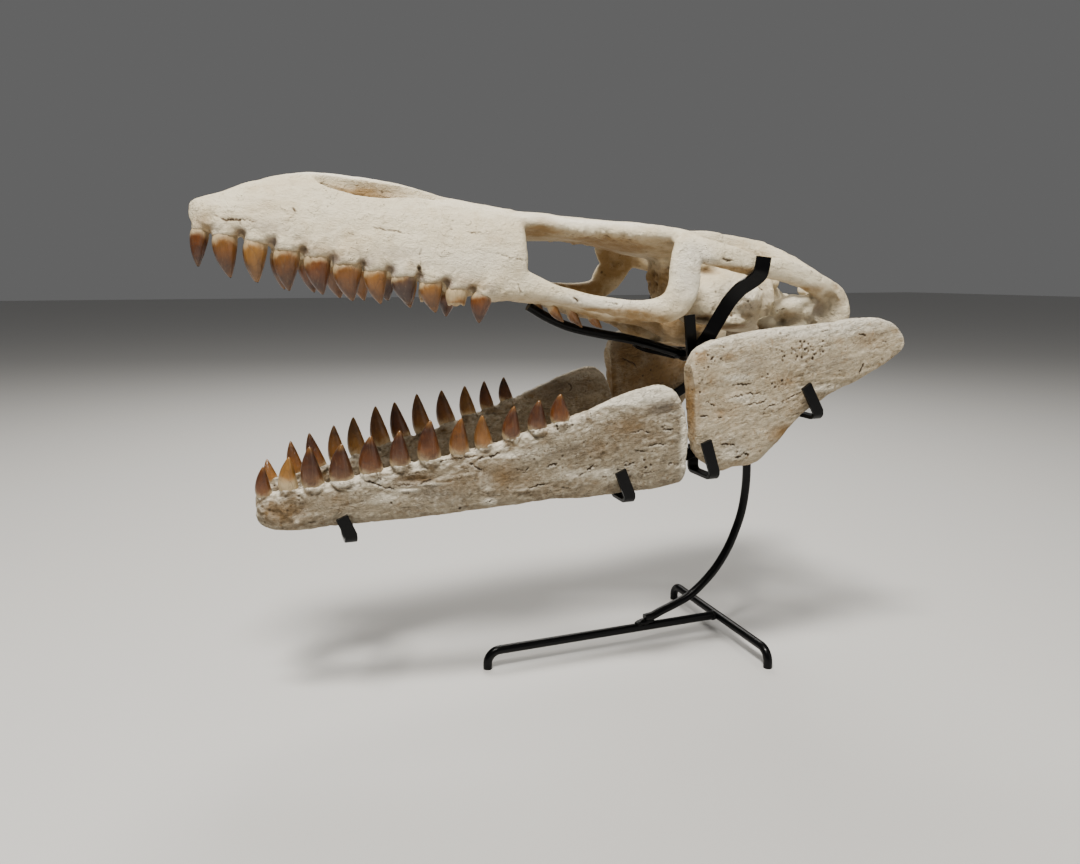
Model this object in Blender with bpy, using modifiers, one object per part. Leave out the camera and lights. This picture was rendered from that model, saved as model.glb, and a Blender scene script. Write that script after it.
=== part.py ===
"""A mosasaur skull with gaping jaws, held on its bent-rod steel stand.

The snout points along -X, the animal's left side is -Y, and the stand's feet rest on Z = 0.
Sizes and places are in millimetres here and are turned to metres when a mesh is written.
The cranium is modelled whole, a cheek differing a little from side to side, and is then parted
into its bones. A lower jaw's left bones are modelled, and its right ones are their mirror images.
"""

import math

import bmesh
import bpy
import numpy as np
from mathutils import Matrix, Vector

MM = 0.001
GAP = 0.3  # left between neighbouring pieces
SLANT_GAP = 0.44  # the same along x, where a cut slants
MIDDLE_X = -6  # middle of the whole mount's length, which the last step moves to x = 0

# Fineness of the solids.
CRANIUM_VOXEL = 2.6
CRANIUM_TRIANGLES = 2900
DENTARY_VOXEL = 1.8
DENTARY_TRIANGLES = 920
POSTDENTARY_VOXEL = 3
POSTDENTARY_TRIANGLES = 260
SHARP_ANGLE = math.radians(50)

# Colours as (red, green, blue), roughness, metallic.
PALE_BONE = ((0.78, 0.73, 0.64), 0.75, 0.0)
JAW_BONE = ((0.62, 0.56, 0.46), 0.85, 0.0)
BLACK_PAINT = ((0.012, 0.012, 0.013), 0.35, 0.0)


class Profile:
    """A smooth curve through (position, value) knots that never swings past them."""

    def __init__(self, *knots):
        self.at = np.array([k[0] for k in knots], float)
        self.value = np.array([k[1] for k in knots], float)
        rise = np.diff(self.value) / np.diff(self.at)
        slope = np.concatenate([[rise[0]], np.zeros(len(rise) - 1), [rise[-1]]])
        for i in range(1, len(rise)):
            if rise[i - 1] * rise[i] > 0:
                slope[i] = 2 * rise[i - 1] * rise[i] / (rise[i - 1] + rise[i])
        self.slope = slope

    def __call__(self, x):
        x = min(max(x, self.at[0]), self.at[-1])
        i = min(int(np.searchsorted(self.at, x, side="right")) - 1, len(self.at) - 2)
        width = self.at[i + 1] - self.at[i]
        t = (x - self.at[i]) / width
        start = (1 + 2 * t) * (1 - t) ** 2 * self.value[i] + t * (1 - t) ** 2 * width * self.slope[i]
        end = t * t * (3 - 2 * t) * self.value[i + 1] + t * t * (t - 1) * width * self.slope[i + 1]
        return float(start + end)


# Snout: half width at the gum, height of the gum, height of the ridge, and how full the arch is.
GUM_HALF = Profile((-357, 6), (-353, 13), (-344, 21), (-330, 29), (-306, 37), (-256, 48),
                   (-206, 57), (-156, 65), (-106, 71), (-60, 77))
GUM_Z = Profile((-357, 481), (-352, 476), (-334, 470), (-313, 467), (-285, 459), (-256, 452),
                (-201, 439), (-150, 428), (-103, 416), (-60, 409))
RIDGE_Z = Profile((-357, 489), (-353, 497), (-346, 500), (-327, 506), (-301, 516), (-273, 523),
                  (-245, 527), (-218, 525), (-160, 516), (-130, 508), (-99, 502), (-60, 496))
SNOUT_FULL = Profile((-357, 2.3), (-300, 1.9), (-240, 1.55), (-160, 1.55), (-100, 1.9), (-60, 2.4))
SNOUT_STATIONS = (-357, -353, -346, -332, -310, -280, -250, -220, -190, -160, -130, -100, -75, -60)
PALATE_VAULT = Profile((-357, 2), (-330, 8), (-200, 16), (-60, 14))
GUM_RIM = 19

# Roof plate over the orbits: half width, height of its top, thickness.
ROOF_HALF = Profile((-150, 16), (-110, 42), (-79, 58), (-60, 62), (0, 61), (40, 64), (80, 75),
                    (108, 82), (124, 76))
ROOF_Z = Profile((-150, 506), (-99, 499), (-60, 495), (0, 490), (40, 488), (84, 485), (124, 480))
ROOF_THICK = 17
ROOF_STATIONS = (-150, -120, -90, -60, -20, 20, 60, 85, 105, 118, 124)
KEEL_HALF = Profile((-100, 34), (-40, 24), (60, 24), (124, 32))
KEEL_BOTTOM = Profile((-100, 460), (-40, 468), (40, 464), (90, 452), (130, 446))
KEEL_STATIONS = (-100, -50, 0, 50, 90, 130)

# Parietal table between the temporal openings.
PARIETAL_HALF = Profile((100, 40), (125, 27), (150, 17), (190, 13), (225, 15), (248, 20))
PARIETAL_Z = Profile((100, 482), (134, 480), (164, 480), (204, 476), (248, 470))
PARIETAL_THICK = 30
PARIETAL_STATIONS = (100, 118, 135, 155, 190, 225, 248)

# Braincase: half width, bottom and top of the bulge below the parietal.
BRAIN_HALF = Profile((116, 18), (126, 35), (150, 43), (185, 45), (228, 44), (248, 40), (262, 28),
                     (274, 17), (286, 10))
BRAIN_BOTTOM = Profile((116, 408), (126, 388), (145, 372), (180, 363), (225, 366), (264, 386),
                       (286, 396))
BRAIN_TOP = Profile((116, 444), (130, 445), (148, 434), (165, 437), (190, 442), (225, 441),
                    (248, 434), (264, 420), (286, 406))
BRAIN_STATIONS = (116, 122, 132, 150, 175, 200, 225, 240, 252, 264, 276, 286)
BRAIN_STEM = (112, 236, -17, 17, 425, 462)  # block that joins it to the parietal above

# Bars of one side, as (x, y, z, half depth, half thickness) along each bar, y from the middle.
# The right cheek sits higher than the left one, and its upright slants more.
CHEEK_LEFT = ((-98, 64, 428, 22, 10), (-52, 69, 419.5, 13, 9), (-20, 75, 411, 8.5, 8),
              (20, 80, 402.5, 8.3, 8), (60, 85.5, 397.5, 11, 8), (86, 89, 402, 16, 8),
              (98, 90, 420, 17.5, 8), (100, 88, 445, 17.5, 8), (104, 82, 468, 21, 8),
              (106, 76, 478, 20, 5))
CHEEK_RIGHT = ((-98, 64, 428, 22, 10), (-52, 69, 423, 12, 9), (-20, 75, 418, 9.5, 8),
               (20, 80, 414, 9.5, 8), (60, 85.5, 412, 11, 8), (83, 89, 415, 13, 8),
               (97, 90, 428, 18, 8), (111, 88, 447, 21, 8), (110, 82, 468, 22, 8),
               (108, 76, 478, 20, 5))
ARCH = ((96, 78, 464, 11, 7), (121, 86, 455.5, 12.5, 8), (161, 91, 446, 12, 8),
        (182, 92, 440, 11.5, 8), (211, 93, 437, 11.5, 8), (240, 92, 429, 11.5, 8.5),
        (266, 89, 419.5, 12, 9), (284, 87, 409, 13.5, 10), (291, 86, 396, 14.5, 10),
        (291, 86, 385, 13.5, 9), (291, 86, 380, 9, 6))
RAMUS = ((232, 4, 462, 9, 9), (246, 18, 456, 10, 9), (258, 36, 446, 10, 9),
         (270, 56, 433, 10, 9), (283, 76, 418, 10, 8), (290, 86, 408, 9, 7))
PTERYGOID = ((-90, 17, 424, 8, 11), (-50, 20, 413, 8, 11), (-12, 24, 408, 8.5, 9),
             (30, 31, 396, 9.5, 9), (74, 40, 390, 10.5, 9), (110, 47, 376, 13, 9),
             (135, 51, 371, 12, 9), (170, 58, 371, 10, 8), (205, 67, 376, 9, 7),
             (238, 76, 384, 9, 6))
ECTOPTERYGOID = ((72, 40, 389, 6, 8), (84, 62, 391, 5.5, 8), (90, 88, 398, 7, 9))
QUADRATE_HEAD = ((214, 77, 396, 9, 8), (236, 79, 397, 13.5, 11), (255, 80, 396, 14, 12),
                 (271, 79, 402, 16, 7), (290, 82, 402, 18, 8))
QUADRATE_SHAFT = ((246, 79, 398, 15, 10), (243, 79, 374, 15, 10), (242, 80, 354, 15, 11),
                  (242, 80, 348, 10, 8))
INTERNARIAL_BAR = ((-266, 0, 516, 8, 8), (-240, 0, 518.5, 8.5, 8), (-205, 0, 515.5, 8.5, 7.5),
                   (-165, 0, 508.5, 8.5, 7.5), (-125, 0, 498, 8.5, 8), (-100, 0, 492, 8, 8))
NARIS = ((-243, 11, 523, 2, 2), (-228, 15, 515, 13, 5.5), (-198, 19, 508, 14, 7.5),
         (-168, 21, 503, 12, 7), (-143, 20, 501, 8, 4.5), (-124, 19, 499, 2, 1.5))
PALATINE = (-88, -24, 30, 408, 432)  # front, rear, half width, bottom, top

# Upper teeth, front to back: base x, shift of the tip along x, crown height, width.
UPPER_TEETH = ((-346, -6, 34, 15), (-325, 0, 36, 21), (-300, -3, 36, 20), (-274, -1, 38, 21),
               (-249, 3, 34, 22), (-223, 1, 37, 23), (-199, 3, 31, 20), (-173, 2, 31, 21),
               (-148, 2, 32, 20), (-124, 0, 16, 20), (-100, -5, 30, 18))
BROKEN_UPPER = 9
UPPER_INSET = 9
UPPER_TIP_OUT = 3

# Lower teeth, front to back: base x, crown height, width.
LOWER_TEETH = ((-306, 31, 14), (-284, 38, 18), (-261, 42, 19), (-235, 40, 21), (-208, 41, 21),
               (-181, 41, 20), (-155, 42, 20), (-128, 39, 19), (-102, 34, 17), (-76, 34, 18),
               (-50, 31, 18), (-26, 29, 17))
LOWER_TIP_SHIFT = -3
LOWER_TIP_OUT = 7

# Pterygoid teeth: base x, y, z and tip shift along x, length.
PTERYGOID_TEETH = ((-18, 24, 404, 15, 20), (2, 26, 402, 15, 24), (25, 29, 394, 13, 17))
PTERYGOID_TOOTH_WIDTH = 10

TOOTH_ROOT = 9  # how deep a crown starts inside the bone
TOOTH_SIDES = 10

# Lower jaw: distance of the tooth row from the middle, x counted from JAW_X0.
JAW_X0 = -306
JAW_ROW = (18, 0.29, -0.00028)
DENTARY_TOP = Profile((-316, 214), (-314, 219), (-309, 225), (-295, 230), (-260, 234), (-235, 239),
                      (-190, 251), (-127, 263), (-78, 276), (-33, 289), (-6, 299), (18, 308),
                      (50, 319), (76, 323.5), (88, 319), (97, 308), (103, 290), (105.5, 276))
DENTARY_BOTTOM = Profile((-316, 206), (-314, 200), (-309, 196), (-295, 191), (-280, 190),
                         (-247, 195), (-178, 199), (-127, 203), (-60, 209), (47, 214), (98, 219),
                         (103, 222), (105.5, 228))
DENTARY_HALF = Profile((-316, 6), (-312, 9), (-300, 10.5), (-240, 10), (0, 9.5), (98, 9), (105.5, 7))
DENTARY_STATIONS = (-316, -313, -307, -296, -270, -240, -210, -180, -150, -120, -90, -60, -30, 0,
                    30, 60, 80, 92, 99, 103, 105.5)

# Rear of the lower jaw: outline, distance of its outer face from the middle, thickness.
POST_TOP = Profile((102, 342), (105, 350), (112, 359), (126, 367), (165, 374), (207, 379.5),
                   (251, 383), (291, 388), (314, 387), (330, 380), (341, 371), (345, 363))
POST_BOTTOM = Profile((102, 264), (105, 255), (112, 246), (124, 238), (138, 231), (156, 235),
                      (173, 236), (205, 261), (227, 284), (249, 300), (302, 325), (328, 341),
                      (341, 352), (345, 359))
POST_OUTER = (110, 0.1)  # at x = 104, and its growth along x
POST_THICK = Profile((102, 21), (112, 24), (160, 25), (250, 21), (330, 16), (345, 9))
POST_STATIONS = (102, 105, 112, 124, 140, 156, 173, 205, 227, 249, 275, 302, 328, 341, 345)
POST_LEAN = 6.5  # how far its front edge draws back behind the dentary's corner
POST_LEAN_Z = (300, 335)  # fully back below the first height, not at all above the second
POST_LEAN_END = 150

# Stand.
ROD = 5
BASE_Z = 20
BASE_FRONT = -83
BASE_REAR = 212
BASE_HALF = 106
BEND = 14  # radius of the bend down to a foot
BEND_STEPS = 4
POST_ROD = ((112, 30.6), (122, 31.8), (133, 36), (155, 43.5), (173, 51.5), (190, 64), (207, 81),
            (221, 101), (232, 124), (241, 152), (245, 188), (243, 226), (236, 253), (225, 276),
            (209, 300), (189, 321), (160, 339.5), (123, 352), (86, 362), (49, 369), (14, 377),
            (-12, 387.5), (-34, 400))
STRAP_HALF = 6
STRAP_THIN = 2
ARCH_STRAP_HALF = 7.5
ARCH_STRAP_TURN = math.radians(22)  # its broad side faces a little outwards
ARCH_STRAP = ((160, -7.5, 347), (162, -25, 362), (167, -50, 386), (171, -72, 408), (175, -88, 419),
              (178, -99, 424), (180, -104.3, 430), (182, -104.8, 438), (184, -104.8, 449))
PTERYGOID_STRAP = ((150, -8, 340), (144, -30, 342), (134, -50, 345), (127, -62, 350),
                   (124.5, -64.5, 358), (123, -64.5, 375), (121, -64.5, 391))
RAIL_FRONT = ((-247, 208), (-200, 211), (-160, 214), (-120, 217), (-40, 222), (30, 226), (90, 238))
RAIL_REAR = ((140, -80.5, 256), (190, -85, 283), (243, -91, 311))
RAIL_INSET = 13.6  # from the tooth row
FRONT_LINK = (-215, 24.4, 209)  # x, half length, height
REAR_LINK_X = 228
REAR_LINK = ((-5.8, 268), (-30, 272), (-60, 287), (-85.5, 295))  # y and height, from the post out
# Hooks round the lower jaws: x at the rail and at the outer tip, inner and outer y, top of the
# inner leg, lowest point, top of the outer leg.
HOOK_TURN = 6  # radius of a hook's corners
HOOKS = {
    "a": (-232, -240, -18.2, -51, 213, 181, 206),
    "b": (40, 29, -65.8, -97.5, 233, 207, 239),
    "c": (126, 115, -73.6, -116, 256, 228, 267),
    "d": (241, 224, -85.2, -127.5, 314, 285.5, 320),
}


def superellipse(count, half_y, half_z, power=2.0):
    """Points round a section, from power 2, an ellipse, towards a rounded box."""
    points = []
    for i in range(count):
        c = math.cos(2 * math.pi * i / count)
        s = math.sin(2 * math.pi * i / count)
        points.append((math.copysign(abs(c) ** (2 / power), c) * half_y,
                       math.copysign(abs(s) ** (2 / power), s) * half_z))
    return points


def skin(bm, rings):
    """Close a skin over rings that have equally many points, with a flat face on each end."""
    rows = [[bm.verts.new(Vector(p) * MM) for p in ring] for ring in rings]
    faces = [bm.faces.new(rows[0]), bm.faces.new(rows[-1])]
    for near, far in zip(rows, rows[1:]):
        for i in range(len(near)):
            j = (i + 1) % len(near)
            faces.append(bm.faces.new((near[i], near[j], far[j], far[i])))
    bmesh.ops.recalc_face_normals(bm, faces=faces)


def spread(stations, parts):
    """Even steps between the stations, this many to each stretch."""
    out = [stations[0]]
    for a, b in zip(stations, stations[1:]):
        out += [a + (b - a) * k / parts for k in range(1, parts + 1)]
    return out


def follow(stations, parts):
    """Rows of numbers along a smooth curve through the stations, by Catmull-Rom."""
    rows = np.array(stations, float)
    padded = np.vstack([2 * rows[0] - rows[1], rows, 2 * rows[-1] - rows[-2]])
    out = []
    for i in range(1, len(padded) - 2):
        a, b, c, d = padded[i - 1:i + 3]
        for k in range(parts):
            t = k / parts
            out.append(0.5 * (2 * b + (c - a) * t + (2 * a - 5 * b + 4 * c - d) * t * t
                              + (3 * b - a - 3 * c + d) * t ** 3))
    return out + [rows[-1]]


def sweep(bm, stations, parts=2, count=10, power=2.2, wide=Vector((0, 1, 0))):
    """A bar along a path: depth lies across it, thickness lies along the wide direction."""
    rows = follow(stations, parts)
    centres = [Vector(row[:3]) for row in rows]
    rings = []
    for i, row in enumerate(rows):
        ahead = (centres[min(i + 1, len(rows) - 1)] - centres[max(i - 1, 0)]).normalized()
        across = (wide - ahead * wide.dot(ahead)).normalized()
        up = ahead.cross(across)
        rings.append([centres[i] + across * p + up * q
                      for p, q in superellipse(count, row[4], row[3], power)])
    skin(bm, rings)


def box(bm, x0, x1, y0, y1, z0, z1):
    """A block between these limits."""
    skin(bm, [[(x, y0, z0), (x, y1, z0), (x, y1, z1), (x, y0, z1)] for x in (x0, x1)])


def wedge(bm, bottom, top, y, z):
    """A block whose front and rear ends move from bottom = (x0, x1) to top = (x0, x1)."""
    skin(bm, [[(ends[0], y[0], level), (ends[1], y[0], level), (ends[1], y[1], level),
               (ends[0], y[1], level)] for ends, level in ((bottom, z[0]), (top, z[1]))])


def jaw_row(x):
    """Distance of the lower tooth row from the middle plane."""
    along = x - JAW_X0
    return JAW_ROW[0] + JAW_ROW[1] * along + JAW_ROW[2] * along * along


def add_tooth(bm, base, tip, width):
    """A crown that swells above its root and bends a little on its way to the tip."""
    base = Vector(base)
    tip = Vector(tip)
    along = tip - base
    side = Vector((1, 0, 0)) - along * (along.x / along.length_squared)
    side.normalize()
    depth = along.normalized().cross(side)
    rings = []
    for t, swell in ((-TOOTH_ROOT / along.length, 0.86), (0.0, 1.0), (0.3, 0.92), (0.58, 0.68),
                     (0.82, 0.38), (1.0, 0.06)):
        bow = Vector((-3.0 * 4 * max(t, 0) * (1 - t), 0, 0)) * (width / 22)
        centre = base + along * t + bow
        rings.append([centre + side * p + depth * q
                      for p, q in superellipse(TOOTH_SIDES, width / 2 * swell, width * 0.42 * swell)])
    skin(bm, rings)


def snout_ring(x, count=12):
    """Section of the snout: an arch from gum to gum, and the vaulted palate under it."""
    half = GUM_HALF(x)
    low = GUM_Z(x)
    high = RIDGE_Z(x)
    power = 2 / SNOUT_FULL(x)
    rim = min(GUM_RIM, half * 0.55)
    ring = []
    for i in range(count * 2 + 1):
        angle = math.pi * i / (count * 2)
        c = math.cos(angle)
        ring.append((x, math.copysign(abs(c) ** power, c) * half,
                     low + 3 + (high - low - 3) * math.sin(angle) ** power))
    vault = PALATE_VAULT(x)
    for y, z in ((-half + 3, 0), (-half + rim * 0.6, -0.5), (-half + rim, 3), (-(half - rim) / 2, vault),
                 (0, vault + 1), ((half - rim) / 2, vault), (half - rim, 3), (half - rim * 0.6, -0.5),
                 (half - 3, 0)):
        ring.append((x, y, low + z))
    return ring


def add_snout(bm):
    """Snout, its palate and the raised bar between the nostrils."""
    skin(bm, [snout_ring(x) for x in spread(SNOUT_STATIONS, 2)])
    sweep(bm, INTERNARIAL_BAR)
    front, rear, half, bottom, top = PALATINE
    sweep(bm, [(front, 0, (bottom + top) / 2, (top - bottom) / 2, half),
               (rear, 0, (bottom + top) / 2 - 2, (top - bottom) / 2 - 2, half * 0.75)], power=4)


def add_roof(bm):
    """Roof plate with its brows, the keel below it, the parietal and the braincase."""
    rings = []
    for x in ROOF_STATIONS:
        rings.append([(x, y, ROOF_Z(x) - ROOF_THICK / 2 - 3 * (y / ROOF_HALF(x)) ** 2 + z)
                      for y, z in superellipse(24, ROOF_HALF(x), ROOF_THICK / 2, 3)])
    skin(bm, rings)
    rings = []
    for x in KEEL_STATIONS:
        top = ROOF_Z(x) - 6
        bottom = KEEL_BOTTOM(x)
        rings.append([(x, y, (top + bottom) / 2 + z)
                      for y, z in superellipse(14, KEEL_HALF(x), (top - bottom) / 2, 2.5)])
    skin(bm, rings)
    rings = []
    for x in PARIETAL_STATIONS:
        rings.append([(x, y, PARIETAL_Z(x) - PARIETAL_THICK / 2 + z)
                      for y, z in superellipse(12, PARIETAL_HALF(x), PARIETAL_THICK / 2, 3)])
    skin(bm, rings)
    rings = []
    for x in BRAIN_STATIONS:
        top = BRAIN_TOP(x)
        bottom = BRAIN_BOTTOM(x)
        rings.append([(x, y, (top + bottom) / 2 + z)
                      for y, z in superellipse(16, BRAIN_HALF(x), (top - bottom) / 2, 2.4)])
    skin(bm, rings)
    box(bm, *BRAIN_STEM)


def add_side_bars(bm, side):
    """Cheek bar, temporal arch, parietal arm, palate bars and quadrate of one side."""
    cheek = CHEEK_LEFT if side < 0 else CHEEK_RIGHT
    for bar in (cheek, ARCH, RAMUS, PTERYGOID, ECTOPTERYGOID, QUADRATE_HEAD, QUADRATE_SHAFT):
        sweep(bm, [(x, y * side, z, deep, thin) for x, y, z, deep, thin in bar])


def add_upper_teeth(bm, side):
    """The row along one side of the snout, and the small teeth on the pterygoid."""
    for i, (x, shift, height, width) in enumerate(UPPER_TEETH):
        out = max(GUM_HALF(x) - UPPER_INSET, 7)
        gum = GUM_Z(x)
        if i == BROKEN_UPPER:
            sweep(bm, [(x, side * out, gum + TOOTH_ROOT, width * 0.42, width * 0.45),
                       (x, side * out, gum, width * 0.45, width / 2 - 1),
                       (x + shift, side * out, gum - height, width * 0.36, width * 0.42)],
                  wide=Vector((1, 0, 0)))
            continue
        add_tooth(bm, (x, side * out, gum),
                  (x + shift, side * (out + UPPER_TIP_OUT), gum - height), width)
    for x, y, z, shift, length in PTERYGOID_TEETH:
        add_tooth(bm, (x, y * side, z), (x + shift, y * side, z - length), PTERYGOID_TOOTH_WIDTH)


def new_object(name, mesh, collection, finish=None):
    """An object of this mesh or curve in the collection, with its own material."""
    obj = bpy.data.objects.new(name, mesh)
    collection.objects.link(obj)
    if obj.type == "MESH":
        mesh.shade_smooth()
        mesh.set_sharp_from_angle(angle=SHARP_ANGLE)
    if finish:
        colour, roughness, metallic = finish
        material = bpy.data.materials.new(name + "_finish")
        material.use_nodes = True
        shader = material.node_tree.nodes["Principled BSDF"]
        shader.inputs["Base Color"].default_value = (*colour, 1)
        shader.inputs["Roughness"].default_value = roughness
        shader.inputs["Metallic"].default_value = metallic
        obj.data.materials.append(material)
    return obj


def mesh_of(bm, name):
    """Turn the working mesh into mesh data."""
    mesh = bpy.data.meshes.new(name)
    bm.to_mesh(mesh)
    bm.free()
    return mesh


def evaluated(obj, name):
    """A plain mesh of the object with its modifiers applied; the object is removed."""
    bpy.context.view_layer.update()
    graph = bpy.context.evaluated_depsgraph_get()
    mesh = bpy.data.meshes.new_from_object(obj.evaluated_get(graph))
    mesh.name = name
    bpy.data.objects.remove(obj)
    return mesh


def fuse(bm, name, voxel, triangles, cutters, hollows=()):
    """Melt overlapping forms into one closed skin with about this many triangles."""
    obj = new_object(name, mesh_of(bm, name), cutters)
    remesh = obj.modifiers.new("Fuse", "REMESH")
    remesh.mode = "VOXEL"
    remesh.voxel_size = voxel * MM
    soften = obj.modifiers.new("Soften", "SMOOTH")
    soften.factor = 0.5
    soften.iterations = 2
    for hollow in hollows:
        cut = obj.modifiers.new("Hollow", "BOOLEAN")
        cut.operation = "DIFFERENCE"
        cut.solver = "EXACT"
        cut.object = hollow
    whole = new_object(name, evaluated(obj, name), cutters)
    thin = whole.modifiers.new("Thin out", "DECIMATE")
    thin.ratio = triangles / sum(len(p.vertices) - 2 for p in whole.data.polygons)
    return evaluated(whole, name)


def guide(name, bm, cutters):
    """A working shape that is left out of the model."""
    obj = new_object(name, mesh_of(bm, name), cutters)
    obj.display_type = "WIRE"
    obj.hide_render = True
    return obj


def take(whole, blocks, name, cutters, side=1):
    """The part of the whole inside the union of the blocks, or of their mirror images."""
    region = None
    for i, block in enumerate(blocks):
        bm = bmesh.new()
        if len(block) == 6:
            box(bm, *block)
        else:
            wedge(bm, *block)
        bmesh.ops.scale(bm, vec=(1, side, 1), verts=bm.verts)
        bmesh.ops.recalc_face_normals(bm, faces=bm.faces)
        piece = guide(f"{name}_block_{i}", bm, cutters)
        if region is None:
            region = piece
            continue
        join = region.modifiers.new("Join", "BOOLEAN")
        join.operation = "UNION"
        join.solver = "EXACT"
        join.object = piece
        grown = evaluated(region, name)
        bpy.data.objects.remove(piece)
        region = new_object(name + "_region", grown, cutters)
    obj = new_object(name, whole.copy(), cutters)
    keep = obj.modifiers.new("Keep", "BOOLEAN")
    keep.operation = "INTERSECT"
    keep.solver = "EXACT"
    keep.object = region
    mesh = evaluated(obj, name)
    bpy.data.objects.remove(region)
    return largest_piece(mesh, name)


def largest_piece(mesh, name):
    """Only the biggest connected body of the mesh, without the chips that a cut leaves."""
    bm = bmesh.new()
    bm.from_mesh(mesh)
    left = set(bm.verts)
    pieces = []
    while left:
        front = [left.pop()]
        piece = list(front)
        while front:
            found = [e.other_vert(v) for v in front for e in v.link_edges]
            front = [v for v in dict.fromkeys(found) if v in left]
            left.difference_update(front)
            piece += front
        pieces.append(piece)
    pieces.sort(key=len)
    chips = [v for piece in pieces[:-1] for v in piece]
    bmesh.ops.delete(bm, geom=chips, context="VERTS")
    return mesh_of(bm, name)


def mirrored(mesh, name):
    """The same mesh on the other side of the middle plane."""
    bm = bmesh.new()
    bm.from_mesh(mesh)
    for vert in bm.verts:
        vert.co.y = -vert.co.y
    bmesh.ops.reverse_faces(bm, faces=bm.faces)
    return mesh_of(bm, name)


def bone_blocks():
    """Where each bone of the cranium lies, as blocks parted by thin cuts; the left ones only."""
    g = GAP / 2
    far = 400
    low = 340
    high = 560
    s = SLANT_GAP / 2
    row_cut = -313
    ridge_cut = -262
    gum_z = 466
    face = -92
    roof_end = 118
    bar_half = 9.5
    bar_z = 484
    inner_cut = row_cut + (ridge_cut - row_cut) * (bar_z - gum_z) / (high - gum_z)
    maxilla_side = (-far, -bar_half - g)
    maxilla_floor = (-20, -g)
    return {
        "premaxilla": [(-far, row_cut - s, -far, far, low, gum_z),
                       ((-far, row_cut - s), (-far, ridge_cut - s), (-far, far), (gum_z - 0.1, high)),
                       (-290, -118 - g, g - bar_half, bar_half - g, bar_z + g, high - 1)],
        "frontal": [(-118 + g, -60, g - bar_half, bar_half - g, bar_z + g, high),
                    (face + g, 63, -far, far, 436 + g, high + 1),
                    (50, 92 - g, -far, far, 462 + g, high + 2),
                    (40, roof_end - g, -40 + g, 40 - g, 430, high + 3)],
        "parietal": [(roof_end + g, 227, -58 + g, 58 - g, 455 + g, high),
                     (225 + g, 320, -57 + g, 57 - g, 447 + g, high + 1),
                     (246 + g, 321, -56 + g, 56 - g, 427 + g, high + 2)],
        "braincase": [(roof_end + g, 151, -40 + g, 40 - g, low, 455 - g),
                      (150, 225 - g, -46 + g, 46 - g, low + 1, 455 - g - 0.1),
                      (224, 246 - g, -45 + g, 45 - g, low + 2, 447 - g),
                      (245, 300, -44 + g, 44 - g, low + 3, 427 - g)],
        "maxilla_left": [(row_cut + s, face - g, *maxilla_side, low, gum_z),
                         ((row_cut + s, face - g), (ridge_cut + s, face - g), maxilla_side,
                          (gum_z - 0.1, high)),
                         (row_cut + s, face - g, *maxilla_floor, low + 1, gum_z),
                         ((row_cut + s, face - g), (inner_cut + s, face - g), maxilla_floor,
                          (gum_z - 0.1, bar_z - g))],
        "jugal_left": [(face + g, 63, -far, -52 - g, low, 436 - g),
                       (40, roof_end - g, -far, -74 - g, low + 1, 462 - g)],
        "temporal_arch_left": [(92 + g, roof_end - g, -far, -40 - g, 462 + g, high + 1),
                               (roof_end - 8, roof_end + 8, -far - 1, -59 - g, 463, high + 2),
                               (roof_end + g, 320, -far + 1, -58 - g, 414 + g, high),
                               (272 + g, 321, -far + 2, -59 - g, low, 430)],
        "quadrate_left": [(215 + g, 272 - g, -far, -46 - g, low - 40, 414 - g)],
        "pterygoid_left": [(face + g, 64, -52 + g, -g, low, 436 - g),
                           (62, roof_end - g, -74 + g, -g - 0.1, low + 1, 412),
                           (117, 150 - g, -74 + g + 0.1, -40 - g, low + 2, 411),
                           (149, 215 - g, -90, -46 - g, low + 3, 410)],
    }


def build_cranium(parts, cutters):
    """Model the cranium whole, hollow the nostrils, and part it into its bones."""
    bm = bmesh.new()
    add_snout(bm)
    add_roof(bm)
    for side in (-1, 1):
        add_side_bars(bm, side)
        add_upper_teeth(bm, side)
    nostrils = []
    for side in (-1, 1):
        hollow = bmesh.new()
        sweep(hollow, [(x, y * side, z, deep, thin) for x, y, z, deep, thin in NARIS])
        nostrils.append(guide(f"naris_{side}", hollow, cutters))
    whole = fuse(bm, "cranium", CRANIUM_VOXEL, CRANIUM_TRIANGLES, cutters, nostrils)
    for name, blocks in bone_blocks().items():
        new_object(name, take(whole, blocks, name, cutters), parts, PALE_BONE)
        if name.endswith("_left"):
            other = name.replace("_left", "_right")
            new_object(other, take(whole, blocks, other, cutters, -1), parts, PALE_BONE)


def build_dentaries(parts, cutters):
    """Tooth-bearing front halves of the lower jaw."""
    bm = bmesh.new()
    rings = []
    for x in DENTARY_STATIONS:
        top = DENTARY_TOP(x)
        bottom = DENTARY_BOTTOM(x)
        rings.append([(x, -jaw_row(x) + y, (top + bottom) / 2 + z)
                      for y, z in superellipse(16, DENTARY_HALF(x), (top - bottom) / 2, 3.2)])
    skin(bm, rings)
    for x, height, width in LOWER_TEETH:
        gum = DENTARY_TOP(x) - 2
        add_tooth(bm, (x, -jaw_row(x), gum),
                  (x + LOWER_TIP_SHIFT, -jaw_row(x) - LOWER_TIP_OUT, gum + height - 3), width)
    mesh = fuse(bm, "dentary_left", DENTARY_VOXEL, DENTARY_TRIANGLES, cutters)
    new_object("dentary_left", mesh, parts, JAW_BONE)
    new_object("dentary_right", mirrored(mesh, "dentary_right"), parts, JAW_BONE)


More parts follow.
